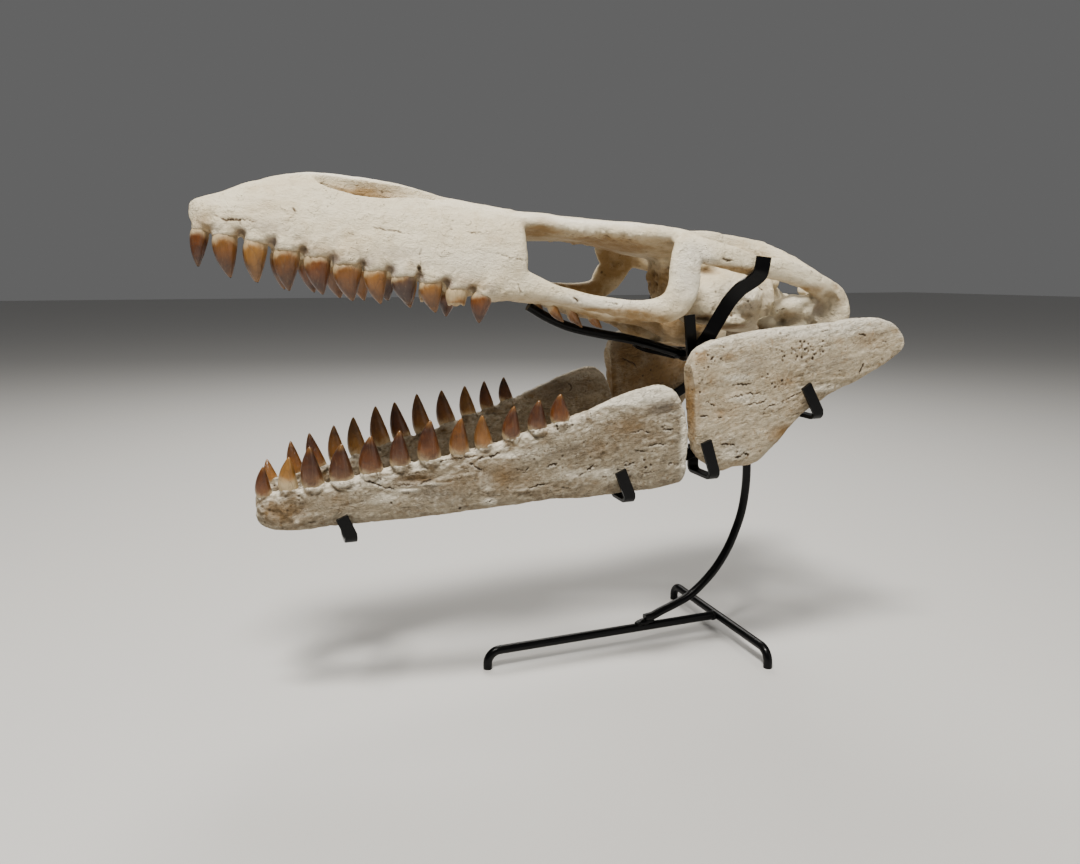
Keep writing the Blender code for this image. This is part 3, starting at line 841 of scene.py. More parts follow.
class ShapeTree(Graph):
    """Geometry nodes with named inputs, which turn the mesh of a row or a line into a plain mesh."""

    def __init__(self, name: str, **inputs: str) -> None:
        """Start the tree.

        Args:
            name: its name.
            inputs: type of each input besides the geometry, by name.
        """
        super().__init__(bpy.data.node_groups.new(name, "GeometryNodeTree"))
        face = self.tree.interface
        face.new_socket("Geometry", in_out="INPUT", socket_type="NodeSocketGeometry")
        self.keys = {key: face.new_socket(key, in_out="INPUT", socket_type=f"NodeSocket{kind}").identifier
                     for key, kind in inputs.items()}
        face.new_socket("Geometry", in_out="OUTPUT", socket_type="NodeSocketGeometry")
        outputs = self.tree.nodes.new("NodeGroupInput").outputs
        self.entry = {key: Socket(self, outputs[key]) for key in ("Geometry", *inputs)}

    def close(self, shape: Socket, finish: Socket) -> None:
        """End the tree with plain geometry in its material.

        Args:
            shape: what the tree makes.
            finish: the material.
        """
        real = self.node("GeometryNodeRealizeInstances", {}, {0: shape})
        done = self.node("GeometryNodeSetMaterial", {}, {"Geometry": real, "Material": finish})
        self.tree.links.new(done.output, self.tree.nodes.new("NodeGroupOutput").inputs[0])

    def grown(self, seed: Mesh, **values: Any) -> Mesh:
        """Run the tree.

        Args:
            seed: mesh of the row or line.
            values: value of each named input.

        Returns:
            A plain mesh of what the tree makes.
        """
        obj = add_object("seed", seed)
        nodes = modify(obj, "NODES", node_group=self.tree)
        for key, value in values.items():
            nodes[self.keys[key]] = value
        return evaluated(obj)


class FinishGraph(Graph):
    """A material's node tree, round a Principled shader."""

    def __init__(self, name: str) -> None:
        """Start a material of this name.

        Args:
            name: the material's name.
        """
        self.material = bpy.data.materials.new(name)
        self.material.use_nodes = True
        super().__init__(self.material.node_tree)
        self.shader = self.tree.nodes["Principled BSDF"]

    def place(self) -> Socket:
        """Object coordinates, in metres."""
        return self.node("ShaderNodeTexCoord", {}, {}, "Object")

    def attribute(self, name: str) -> Socket:
        """A value painted on the mesh."""
        return self.node("ShaderNodeAttribute", {"attribute_name": name}, {}, "Fac")

    def stretched(self, place: Socket, scale: Sequence[float]) -> Socket:
        """Coordinates multiplied by this much along each axis."""
        return self.node("ShaderNodeVectorMath", {"operation": "MULTIPLY"},
                         {0: place, 1: tuple(scale)}, "Vector")

    def grained(self, place: Socket, slope: float, scale: Sequence[float]) -> Socket:
        """Coordinates that follow a grain with this rise along X, then multiplied by the scale."""
        x, y, z = place.parts()
        return self.stretched(self.node("ShaderNodeCombineXYZ", {}, {0: x, 1: y, 2: z - x * slope}), scale)

    def noise(self, place: Socket, scale: float, detail: float = 3.0, rough: float = 0.55,
              twist: float = 0.0) -> Socket:
        """Noise of this many features a metre, between 0 and 1.

        Args:
            place: where it is read.
            scale: features a metre.
            detail: octaves.
            rough: weight of the small octaves.
            twist: distortion.

        Returns:
            The value.
        """
        return self.node("ShaderNodeTexNoise", {},
                         {"Vector": place, "Scale": scale, "Detail": detail, "Roughness": rough,
                          "Distortion": twist}, "Fac")

    def cells(self, place: Socket, scale: float, feature: str) -> Socket:
        """Distance within a pattern of cells, to their middle (F1) or their edge."""
        return self.node("ShaderNodeTexVoronoi", {"feature": feature},
                         {"Vector": place, "Scale": scale}, "Distance")

    def blend(self, share: Any, a: Any, b: Any) -> Socket:
        """Two colours mixed by a share from 0 to 1."""
        return self.node("ShaderNodeMix", {"data_type": "RGBA"}, {0: share, 6: a, 7: b}, 2)

    def set(self, **values: Any) -> None:
        """Set the shader's inputs, with _ for a space in their names."""
        for key, value in values.items():
            self.feed(self.shader.inputs[key.replace("_", " ")], value)

    def relief(self, height: Socket, depth: float, strength: float = 1.0) -> None:
        """Give the shader a bump of this height map, depth in metres."""
        self.set(Normal=self.node("ShaderNodeBump", {}, {"Height": height, "Distance": depth,
                                                         "Strength": strength}, "Normal"))


@dataclass(frozen=True)
class BoneFinish:
    """Dry fossil bone: mottled, stained, pitted and streaked along its grain, with painted shade and
    highlights.

    Attributes:
        name: the material's name.
        pale: colour of the clean surface.
        warm: colour of its mottling.
        stain_and_shade: colour of iron staining, also used for painted shade on undersides and inner faces.
        dirt: colour of grime and of painted shade in cracks and hollows.
        rub_and_highlight: colour of rubbed places and of painted highlights.
        grey: colour of grey left by minerals, also used for painted shade in a hollow.
        slope: rise of the grain along X.
        fibre: strength of the grain, from 0.
        mottle: strength of the mottling, from 0.
        roughness: roughness of the clean surface.
    """

    name: str
    pale: Colour
    warm: Colour
    stain_and_shade: Colour
    dirt: Colour
    rub_and_highlight: Colour
    grey: Colour
    slope: float
    fibre: float
    mottle: float
    roughness: float

    def make(self) -> Material:
        """Build the material.

        Returns:
            The material.
        """
        g = FinishGraph(self.name)
        place = g.place()
        broad = g.noise(place, 16, 3, 0.6, 0.6)
        blotch = g.noise(place, 70, 4, 0.62)
        speck = g.noise(place, 650, 3, 0.7)
        grit = g.noise(g.grained(place, self.slope, (250, 320, 340)), 1.0, 4, 0.7, 0.6)
        threads = g.noise(g.grained(place, self.slope, (62, 260, 330)), 1.0, 5, 0.62, 0.4)
        flakes = g.noise(g.grained(place, self.slope, (90, 140, 160)), 1.0, 5, 0.7, 0.8)
        lines = g.noise(g.grained(place, self.slope, (44, 150, 210)), 1.0, 3, 0.5, 0.8)
        pores = g.cells(place, 330, "F1").above(0.08, 0.3)
        sparse = g.noise(place, 80, 2).above(0.55, 0.66)

        warmth = (broad.above(0.4, 0.68) * 0.6 + blotch.above(0.45, 0.72) * 0.45) * self.mottle
        colour = g.blend(warmth.clamped(), self.pale, self.warm)
        # Pale rubbed wear, and painted highlights on tops, edges and bulges.
        colour = g.blend((g.attribute("rub_and_highlight") * (0.6 + 0.8 * blotch)).clamped(), colour, self.rub_and_highlight)
        colour = g.blend(threads.above(0.52, 0.74) * (0.6 * self.fibre), colour, self.stain_and_shade)
        colour = g.blend(flakes.above(0.52, 0.7) * (0.9 * self.fibre), colour, self.grey)
        fine = (1.0 - (lines - 0.5).size().above(0.0, 0.04)) * blotch.above(0.45, 0.62)
        colour = g.blend(fine * (0.8 * self.fibre), colour, self.dirt)
        sunk = (1.0 - grit.above(0.3, 0.44)) * (0.1 + 1.4 * self.fibre)
        colour = g.blend(sunk * blotch.above(0.3, 0.6), colour, self.dirt)
        # Grey patches, one of them painted shade in the quadrate's scoop.
        grey_and_shade = g.attribute("grey") * (0.4 + 1.1 * blotch)
        colour = g.blend(grey_and_shade.clamped(), colour, self.grey)
        # Iron staining, and painted shade on undersides and inner faces.
        stain_and_shade = g.attribute("stain_and_shade") * (0.35 + 1.2 * blotch + 0.3 * (threads - 0.5))
        colour = g.blend(stain_and_shade.clamped(), colour, self.stain_and_shade)
        colour = g.blend((1.0 - pores) * sparse * 0.5, colour, self.dirt)
        # Painted shade, with grime, in cracks, pits, hollows and shaded places.
        hollow = g.attribute("painted_shade_and_dirt") * (0.75 + 0.5 * speck)
        colour = g.blend(hollow.clamped(), colour, self.dirt)
        g.set(Base_Color=colour, Roughness=(self.roughness + 0.14 * (speck - 0.5)).clamped(),
              Specular_IOR_Level=0.3)
        height = (speck * 0.1 + grit * (1.3 * self.fibre + 0.22) + blotch * 0.5
                  + threads * (0.6 * self.fibre + 0.05) + flakes * (2.4 * self.fibre + 0.25)
                  + pores * sparse * 0.2 - fine * (0.7 * self.fibre))
        g.relief(height, 0.0036, 1.0)
        return g.material


@dataclass(frozen=True)
class EnamelFinish:
    """Amber enamel that is pale at the root and darkest towards the tip."""

    name: str = "amber_enamel"
    root: Colour = (0.55, 0.43, 0.25)
    amber: Colour = (0.18, 0.053, 0.007)
    tan: Colour = (0.34, 0.16, 0.033)
    grey: Colour = (0.055, 0.034, 0.028)
    dark: Colour = (0.032, 0.0105, 0.005)
    roughness: float = 0.3

    def make(self) -> Material:
        """Build the material.

        Returns:
            The material.
        """
        g = FinishGraph(self.name)
        place = g.place()
        along = g.attribute("along")
        cloud = g.noise(place, 95, 4, 0.6, 0.6)
        patchy = g.noise(place, 45, 2, 0.5)
        streak = g.noise(g.stretched(place, (700, 700, 60)), 1.0, 3, 0.6)
        speck = g.noise(place, 900, 3, 0.7)
        crack = g.cells(g.stretched(place, (220, 220, 50)), 1.0, "DISTANCE_TO_EDGE").above(0, 0.025)

        colour = g.blend((g.attribute("tan_share") * (0.6 + 0.8 * cloud)).clamped(), self.amber, self.tan)
        colour = g.blend(g.attribute("grey_share"), colour, self.grey)
        colour = g.blend((1.0 - along.above(0.1, 0.5)) * patchy.above(0.3, 0.6) * 0.6, colour, self.tan)
        deep = (along.above(0.25, 0.8) * 0.4 + g.attribute("darkness") * 0.75
                + (cloud - 0.5) * 1.3 + (patchy - 0.5) * 0.5).clamped()
        colour = g.blend(deep, colour, self.dark)
        colour = g.blend(streak.above(0.52, 0.72) * 0.09, colour, self.root)
        pale = g.attribute("tan_share").above(0.86, 0.98) * 0.24
        arched = along - g.attribute("across") * 0.12 + (cloud - 0.5) * 0.3 - pale
        collar = (1.0 - arched.above(0.0, 0.25)) * 0.85
        colour = g.blend(collar, colour, self.root)
        colour = g.blend((1.0 - crack) * 0.4, colour, self.dark)
        tip = (along + (cloud - 0.5) * 0.16).above(0.8, 1.0) * g.attribute("worn")
        colour = g.blend(tip * 0.6, colour, self.tan)
        colour = g.blend(speck.above(0.64, 0.8) * 0.25, colour, self.root)
        g.set(Base_Color=colour, Roughness=(self.roughness + 0.3 * collar + 0.25 * (cloud - 0.4)).clamped(),
              Coat_Weight=0.22, Coat_Roughness=0.22)
        g.relief(streak * 0.35 + speck * 0.2 + crack * 0.3 + cloud * 1.5, 0.0008, 0.6)
        return g.material


@dataclass(frozen=True)
class PaintFinish:
    """Black paint on hand-bent steel, a little dusty on top."""

    name: str = "black_stand_paint"
    paint: Colour = (0.002, 0.002, 0.0023)
    dust: Colour = (0.03, 0.028, 0.025)
    roughness: float = 0.3

    def make(self) -> Material:
        """Build the material.

        Returns:
            The material.
        """
        g = FinishGraph(self.name)
        place = g.place()
        brushed = g.noise(place, 420, 4, 0.65)
        flow = g.noise(place, 60, 3, 0.5)
        specks = g.noise(place, 1500, 2).above(0.66, 0.78)
        dusty = flow.above(0.5, 0.8) * 0.1 + specks * 0.16
        g.set(Base_Color=g.blend(dusty.clamped(), self.paint, self.dust),
              Roughness=(self.roughness + 0.25 * dusty + 0.12 * (brushed - 0.5)).clamped(),
              Specular_IOR_Level=0.12, Coat_Weight=0.09, Coat_Roughness=0.12)
        g.relief(brushed * 0.4 + flow, 0.0006, 0.5)
        return g.material


@dataclass(frozen=True)
class FloorFinish:
    """Plain pale floor."""

    name: str = "pale_floor"
    tone: Colour = (0.62, 0.61, 0.59)

    def make(self) -> Material:
        """Build the material.

        Returns:
            The material.
        """
        g = FinishGraph(self.name)
        g.set(Base_Color=self.tone, Roughness=0.7)
        return g.material


@dataclass(frozen=True)
class Palette:
    """Every finish of the model, made once."""

    skull: Material
    front_jaw: Material
    rear_jaw: Material
    enamel: Material
    paint: Material
    floor: Material

    @classmethod
    def mixed(cls) -> "Palette":
        """Make all the materials.

        Returns:
            The palette.
        """
        skull = BoneFinish("pale_skull_bone", pale=(0.84, 0.745, 0.545), warm=(0.69, 0.565, 0.35),
                           stain_and_shade=(0.34, 0.215, 0.09), dirt=(0.10, 0.062, 0.03), rub_and_highlight=(0.95, 0.875, 0.71),
                           grey=(0.33, 0.28, 0.25), slope=-0.12, fibre=0.1, mottle=0.75, roughness=0.62)
        front = BoneFinish("grey_tan_jaw_bone", pale=(0.32, 0.265, 0.18), warm=(0.21, 0.155, 0.09),
                           stain_and_shade=(0.2, 0.122, 0.05), dirt=(0.06, 0.037, 0.02), rub_and_highlight=(0.95, 0.875, 0.71),
                           grey=(0.13, 0.108, 0.085), slope=0.13, fibre=0.36, mottle=0.95, roughness=0.76)
        rear = BoneFinish("pale_jaw_bone", pale=(0.53, 0.445, 0.31), warm=(0.39, 0.3, 0.175),
                          stain_and_shade=(0.29, 0.165, 0.055), dirt=(0.07, 0.042, 0.02), rub_and_highlight=(0.84, 0.77, 0.62),
                          grey=(0.25, 0.215, 0.17), slope=0.2, fibre=0.3, mottle=0.9, roughness=0.74)
        return cls(skull.make(), front.make(), rear.make(), EnamelFinish().make(), PaintFinish().make(),
                   FloorFinish().make())


def settle(mesh: Mesh, name: str, finish: Material, slot: Slot, *nodes: str) -> None:
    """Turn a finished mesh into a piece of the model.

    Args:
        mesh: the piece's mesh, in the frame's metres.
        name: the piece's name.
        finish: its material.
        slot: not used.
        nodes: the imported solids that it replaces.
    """
    mesh.name = name
    mesh.materials.clear()
    mesh.materials.append(finish)
    piece = add_object(name, mesh)
    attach(piece, BODY)
    if nodes:
        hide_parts(*nodes)
    mesh.calc_loop_triangles()
    LOG.info("%s: %d triangles", name, len(mesh.loop_triangles))


# ---- teeth


@dataclass(frozen=True)
class Tooth:
    """One crown of a row.

    Attributes:
        base: middle of its neck.
        tip: its point.
        width: its width along the jaw.
        tone: its enamel.
        worn: 1 for a rubbed, pale tip.
        whole: share of its length that is left, below 1 for a broken crown.
    """

    base: Point
    tip: Point
    width: float
    tone: Tone = Tone.AMBER
    worn: float = 0.0
    whole: float = 1.0

    @property
    def length(self) -> float:
        """Distance from neck to tip."""
        return (Vector(self.tip) - Vector(self.base)).length

    @property
    def axis(self) -> Vector:
        """Direction from neck to tip."""
        return (Vector(self.tip) - Vector(self.base)).normalized()

    def socket(self, shape: Stations) -> list[Row]:
        """Stations of the bone round its neck.

        Args:
            shape: rows of reach along the axis, shift inwards, and half widths in crown half widths.

        Returns:
            The stations.
        """
        half = self.width / 2
        rows = []
        for reach, inward, deep, thick in shape:
            place = Vector(self.base) + self.axis * reach
            y = place.y - math.copysign(inward, place.y)
            rows.append((place.x, y, place.z, half * deep, half * thick))
        return rows


class CrownTree(ShapeTree):
    """Geometry nodes that stand a curved, ridged crown on every point of a row."""

    SIDES = 40
    RINGS = 26
    RIDGES = 11.0
    FLUTE = 0.02  # depth of the ridges, as a share of the radius
    # Share of the length from the neck, and share of the greatest radius there.
    OUTLINE = ((0.0, 0.84), (0.08, 0.95), (0.2, 1.0), (0.36, 0.94), (0.52, 0.81), (0.68, 0.63),
               (0.82, 0.415), (0.92, 0.235), (0.98, 0.10), (1.0, 0.0))

    def __init__(self) -> None:
        """Shape a crown from a cylinder and stand one on each point."""
        super().__init__("Crowns", Bow="Float", Flatness="Float", Enamel="Material")
        marked = self.node("GeometryNodeMeshCylinder", {"fill_type": "TRIANGLE_FAN"},
                           {"Vertices": self.SIDES, "Side Segments": self.RINGS, "Radius": 1.0,
                            "Depth": 1.0})
        x, y, z = self.node("GeometryNodeInputPosition", {}, {}).parts()
        along = z + 0.5
        outline = self.node("ShaderNodeFloatCurve", {}, {"Value": along})
        mapping = outline.output.node.mapping
        knots = mapping.curves[0].points
        knots[0].location = self.OUTLINE[0]
        knots[1].location = self.OUTLINE[-1]
        for knot in self.OUTLINE[1:-1]:
            knots.new(*knot)
        mapping.update()
        wave = self.math("COSINE", self.math("ARCTAN2", y, x) * self.RIDGES)
        rest = 1.0 - along
        radius = outline * (1.0 - wave * rest * self.FLUTE)
        bow = along * rest * 4.0 * self.entry["Bow"]
        moved = self.node("ShaderNodeCombineXYZ", {},
                          {0: x * radius - bow, 1: y * radius * self.entry["Flatness"], 2: along})
        for name, value in (("along", along), ("across", x * x)):
            marked = self.node("GeometryNodeStoreNamedAttribute",
                               {"data_type": "FLOAT", "domain": "POINT"},
                               {"Geometry": marked, "Name": name, "Value": value})
        shaped = self.node("GeometryNodeSetPosition", {}, {"Geometry": marked, "Position": moved})
        turn = self.node("FunctionNodeAxesToRotation", {"primary_axis": "Z", "secondary_axis": "X"},
                         {"Primary Axis": self.named("axis"), "Secondary Axis": (1.0, 0.0, 0.0)})
        self.close(self.node("GeometryNodeInstanceOnPoints", {},
                             {"Points": self.entry["Geometry"], "Instance": shaped, "Rotation": turn,
                              "Scale": self.named("size")}), self.entry["Enamel"])

    def named(self, name: str) -> Socket:
        """A vector attribute of the row's points."""
        return self.node("GeometryNodeInputNamedAttribute", {"data_type": "FLOAT_VECTOR"}, {"Name": name})

    def dress(self, teeth: Sequence[Tooth], name: str, bow: float, flatness: float,
              enamel: Material) -> None:
        """Build the crowns of one row and hand them over.

        Args:
            teeth: the row.
            name: the piece's name.
            bow: how far a crown's middle leans forward, in half widths.
            flatness: its depth across the jaw over its width.
            enamel: its material.
        """
        row = bpy.data.meshes.new("row")
        row.from_pydata([framewise(t.base) for t in teeth], [], [])
        for key, values in (
                ("axis", [t.axis for t in teeth]),
                ("size", [(t.width / 2 * MM, t.width / 2 * MM, t.length * MM) for t in teeth]),
                ("grey_share", [t.tone.value[0] for t in teeth]),
                ("tan_share", [t.tone.value[1] for t in teeth]),
                ("darkness", [t.tone.value[2] for t in teeth]), ("worn", [t.worn for t in teeth])):
            store(row, key, values)
        mesh = self.grown(row, Bow=bow, Flatness=flatness, Enamel=enamel)
        self._snap(mesh, teeth)
        mesh.shade_smooth()
        settle(mesh, name, enamel, Slot.ENAMEL)

    def _snap(self, mesh: Mesh, teeth: Sequence[Tooth]) -> None:
        """Turn the ends of broken crowns into hollow, ragged stumps.

        Args:
            mesh: the crowns of the row, changed in place.
            teeth: the row.
        """
        each = len(mesh.vertices) // len(teeth)
        along = mesh.attributes["along"].data
        for i, tooth in enumerate(teeth):
            if tooth.whole == 1:
                continue
            for k in range(i * each, (i + 1) * each):
                over = along[k].value - tooth.whole
                if over > -0.06:
                    ragged = 0.05 * math.sin(k * 2 * math.pi / self.SIDES * 3) * (1 - abs(over))
                    back = max(over, 0) * 1.35 + ragged
                    mesh.vertices[k].co -= tooth.axis * (back * tooth.length * MM)
                    along[k].value = min(along[k].value, tooth.whole) * 0.6


# ---- marks


# Where the gum is sunk and grey between two crowns.
GUM_GAPS = (
    (-313, 33, 468), (-287, 40, 460), (-261, 47, 453), (-236, 51, 447), (-211, 56, 441), (-187, 60, 436),
    (-161, 64, 430), (-137, 67, 424), (-113, 70, 418))
CRANIUM_MARKS = Marks(
    dents=patches(
        (-40, 50, 474, 30, 26, 16, 2.5), (20, 40, 470, 50, 26, 14, 1.6), (-331, 27, 470, 10, 12, 9, 1.2),
        *((*place, 6, 12, 10, 2.3) for place in GUM_GAPS), (-300, 36, 490, 30, 16, 14, 1),
        (-250, 30, 500, 28, 16, 12, 0.8), (-120, 52, 470, 40, 16, 16, 1), (-70, 70, 432, 22, 12, 14, 1),
        (112, 0, 484, 8, 5, 10, 3), (0, 0, 492, 90, 14, 8, -1.8), (178, 44, 408, 16, 14, 24, 1.5),
        (120, 96, 448, 16, 10, 12, -1.5), (212, 42, 387, 15, 10, 7, 1.5), (168, 30, 437, 17, 26, 7, 4),
        (281, 0, 418, 12, 8, 8, 3.5)),
    rough=patches(
        (190, 42, 405, 90, 22, 50, 0.75), (150, 38, 388, 50, 16, 14, 0.9), (200, 60, 376, 90, 24, 14, 0.8),
        (238, 84, 402, 36, 16, 20, 1), (284, 90, 402, 22, 20, 26, 0.6), (-340, 22, 481, 14, 14, 12, 1),
        (-195, 14, 504, 66, 10, 13, 0.9), (105, 84, 445, 34, 20, 36, 0.8, 1),
        (60, 80, 405, 70, 18, 16, 0.6, 1), (95, 48, 376, 60, 20, 18, 0.6), (117, 0, 430, 16, 50, 30, 0.9),
        (20, 50, 468, 80, 34, 18, 2), (20, 82, 396, 90, 16, 8, 0.5), (126, 92, 452, 26, 12, 12, 0.4)),
    # Many of these brown places are painted shade: under the arch, on the cheek's lower half, on faces
    # turned inwards, and round the braincase and pterygoids.
    stains_and_shade=patches(
        (281, 0, 418, 12, 9, 9, 0.8), (-38, 52, 474, 26, 30, 22, 0.8), (40, 30, 462, 70, 40, 16, 1.2),
        (-342, 18, 474, 16, 16, 16, 0.6), (-208, 13, 507, 60, 10, 15, 1.3), (180, 60, 366, 90, 26, 18, 1.6),
        (85, 47, 380, 66, 24, 22, 1.6), (45, 90, 391, 66, 16, 14, 1.3), (117, 0, 424, 18, 50, 30, 0.8),
        (10, 84, 395, 90, 14, 8, 0.8), (130, 60, 444, 60, 40, 14, 0.5), (268, 88, 402, 26, 22, 22, 0.4),
        (289, 92, 408, 9, 12, 14, 0.5), (250, 98, 418, 26, 14, 7, 0.7), (280, 98, 420, 12, 12, 8, 0.8),
        (212, 44, 387, 16, 12, 8, 0.9), (152, 42, 386, 18, 12, 9, 0.9), (150, 96, 437, 70, 14, 7, 1),
        (168, 30, 437, 17, 26, 7, 2.2), (195, 48, 373, 38, 34, 8, 2.2), (-130, 70, 424, 60, 10, 12, 0.3),
        (-290, 36, 490, 44, 20, 16, 0.16), (-90, 68, 470, 30, 20, 20, 0.16), (-60, 72, 480, 12, 20, 12, 0.5),
        (-240, 52, 452, 60, 10, 14, 0.25), (105, 76, 447, 36, 20, 30, 1.4, 1),
        (40, 76, 410, 70, 20, 20, 1.6, 1), (84, 80, 425, 30, 20, 30, 0.7, 1), (90, 50, 372, 70, 30, 30, 0.9),
        (20, 35, 392, 60, 20, 14, 0.6), (20, 84, 396, 70, 12, 9, 0.55), (230, 90, 386, 26, 12, 10, 0.4)),
    # The grey place in the quadrate's scoop, at (262, 86, 396), is painted shade.
    greys=patches(
        *((*place, 8, 14, 8, 1.2) for place in GUM_GAPS), (-296, 38, 474, 34, 16, 12, 0.35),
        (-180, 58, 452, 50, 14, 10, 0.3), (-335, 24, 474, 12, 14, 8, 0.5), (-205, 14, 504, 56, 10, 12, 0.6),
        (262, 86, 396, 20, 16, 16, 0.9), (60, 10, 458, 50, 40, 14, 0.4), (108, 80, 446, 20, 14, 18, 0.5, 1),
        (-124, 66, 428, 26, 12, 12, 0.3), (-200, 58, 446, 60, 12, 12, 0.2)),
    # Some pale places are painted highlights: on the brow, the postorbital bar and the bulge of the
    # braincase.
    rubs_and_highlights=patches(
        (-200, 0, 524, 160, 14, 8, 0.7), (20, 60, 488, 130, 26, 14, 1.2), (100, 98, 440, 30, 14, 50, 1.2),
        (20, 88, 404, 110, 14, 12, 0.7), (240, 88, 440, 80, 20, 16, 0.6), (231, 92, 408, 18, 12, 9, 0.9),
        (205, 46, 408, 44, 22, 30, 2.6), (115, 98, 440, 26, 16, 50, 1), (-110, 68, 445, 90, 20, 26, 0.5),
        (-20, 88, 410, 90, 14, 10, 0.7), (165, 44, 415, 40, 14, 24, 0.5)),
    pitted=patches(
        (-124, 52, 476, 34, 20, 16, 0.9), (-335, 24, 484, 24, 20, 14, 0.6), (200, 45, 400, 60, 20, 40, 0.5),
        (200, 96, 436, 110, 14, 20, 0.6), (110, 80, 440, 40, 24, 40, 0.8, 1), (-196, 12, 505, 66, 11, 12, 1),
        (-230, 50, 470, 120, 30, 30, 0.12)),
    cracks=cracks(
        (1.33, 1.5, -334, 484, -326, 481, -318, 480, -308, 481, -298, 478),
        (0.94, 0.9, -316, 480, -311, 475, -302, 474),
        (0.94, 0.9, -200, 476, -189, 473, -176, 471, -163, 467),
        (0.94, 0.8, -147, 463, -139, 461, -130, 458), (1.25, 1.1, -268, 491, -266, 487),
        (0.86, 0.8, -115, 471, -103, 471), (0.9, 0.4, -158, 458, -161, 450, -160, 440),
        (2.03, 2.4, -162, 440, -161, 434), (0.86, 0.8, -72, 425, -66, 414, -56, 410),
        (1.4, 1.5, -18, 411, -12, 408), (1.09, 1.1, 15, 406, 28, 404),
        (1.33, 1.5, 138, 449, 144, 446, 149, 448), (1.17, 1.2, 222, 418, 229, 416),
        (0.78, 0.6, -228, 470, -205, 466), (0.78, 0.7, -90, 452, -70, 446, -58, 447),
        (1.01, 1, 205, 402, 214, 394, 222, 398)))
FRONT_JAW_MARKS = Marks(
    dents=patches(
        (-172, 62, 239, 28, 12, 6, 2.6), (-175, 62, 248, 34, 10, 4, -1.2),
        (-180, 61, 229, 17, 12, 2.6, -1.4), (-156, 65, 234.5, 17, 12, 2.6, -1.4),
        (-101, 75, 214, 12, 12, 7, -1.3), (-108, 74, 246, 8, 12, 6, 1.2), (-60, 81, 240, 36, 12, 14, 1),
        (-66, 80, 224, 30, 12, 3, -1), (75, 96, 296, 26, 12, 12, 1.4), (40, 96, 250, 40, 12, 16, 0.8),
        (-40, 88, 250, 50, 12, 14, 0.8), (-278, 38, 214, 16, 12, 12, 1.6), (-300, 28, 206, 12, 14, 9, -1.8),
        (-262, 40, 200, 12, 12, 8, 1.2)),
    stains_and_shade=patches(
        (35, 96, 283, 44, 14, 15, 0.75), (-288, 34, 210, 34, 26, 20, 0.8), (-160, 60, 238, 60, 14, 9, 0.45),
        (60, 96, 268, 40, 14, 14, 0.3), (-60, 80, 222, 80, 14, 10, 0.25), (-100, 74, 250, 70, 14, 14, 0.25),
        (-172, 62, 240, 26, 12, 6, 0.7), (-134, 70, 236, 22, 12, 18, 0.4), (-90, 78, 236, 80, 16, 18, 0.4),
        (-88, 77, 238, 16, 12, 18, 0.4), (10, 91, 262, 34, 12, 14, 0.45), (-240, 44, 220, 30, 14, 16, 0.35),
        (-300, 30, 212, 20, 20, 14, 0.6)),
    greys=patches(
        (76, 98, 300, 24, 14, 13, 0.9), (-178, 60, 237, 24, 12, 8, 0.7), (30, 76, 300, 60, 24, 30, 0.7, 1),
        (-20, 88, 262, 50, 12, 14, 0.3), (-150, 66, 224, 44, 14, 14, 0.4)),
    # The pale places along the top edge are painted highlights.
    rubs_and_highlights=patches(
        (40, 92, 316, 90, 20, 17, 1.6), (103, 98, 270, 11, 20, 66, 1.3), (-120, 66, 268, 60, 22, 9, 0.8),
        (-230, 46, 240, 70, 22, 10, 0.8), (-40, 80, 290, 50, 20, 10, 0.8), (-20, 88, 238, 26, 10, 8, 0.5),
        (-104, 74, 234, 9, 12, 14, 0.4), (-101, 75, 214, 12, 12, 7, 0.6), (-180, 61, 228, 17, 12, 2.6, 0.8),
        (-156, 65, 233.5, 17, 12, 2.6, 0.8), (-85, 80, 260, 22, 14, 5, 0.8), (-60, 82, 262, 30, 12, 10, 0.3),
        (20, 92, 236, 40, 12, 10, 0.5), (-200, 56, 222, 30, 12, 8, 0.5)),
    rough=patches(
        (-108, 74, 230, 16, 12, 26, 0.5), (20, 92, 256, 40, 12, 16, 0.4), (-292, 32, 208, 30, 20, 22, 0.4),
        (-20, 88, 232, 30, 12, 12, 0.3)),
    pitted=patches(
        (-106, 74, 234, 16, 14, 24, 0.9), (-20, 86, 262, 60, 20, 30, 0.35), (60, 96, 240, 60, 20, 24, 0.25),
        (-50, 84, 290, 60, 20, 14, 0.6), (-290, 30, 212, 30, 30, 24, 0.3)),
    cracks=cracks(
        (1.5, 1.7, -119, 254, -112, 248, -106, 246), (1.4, 1.3, -44, 247, -34, 249),
        (1.2, 0.9, -190, 235, -172, 234, -152, 240), (1.4, 1.2, 36, 243, 46, 246),
        (1.33, 1.4, 44, 277, 52, 280, 62, 276), (1.09, 1.1, 76, 279, 88, 278),
        (1.25, 1.4, -12, 236, -6, 239, 0, 243, 4, 247),
        (1.09, 1.2, -217, 240, -205, 235, -199, 232, -190, 231),
        (1.01, 1.1, -206, 250, -205, 243, -198, 241), (0.94, 0.9, -150, 256, -128, 258, -111, 260),
        (1.33, 1.5, -111, 257, -104, 260, -96, 259, -90, 263), (1.01, 1, -75, 246, -66, 243, -62, 247),
        (1.09, 1.2, -62, 226, -50, 229, -38, 230), (1.17, 1.1, 46, 259, 58, 257, 68, 256),
        (0.94, 0.8, 60, 262, 84, 264), (1.17, 1.1, 84, 243, 96, 241), (0.94, 0.8, 56, 235, 69, 235),
        (1.01, 1, -105, 213, -96, 216))
    + cracks((1.09, 1.2, 44, 306, 48, 300, 45, 296), inner=True))
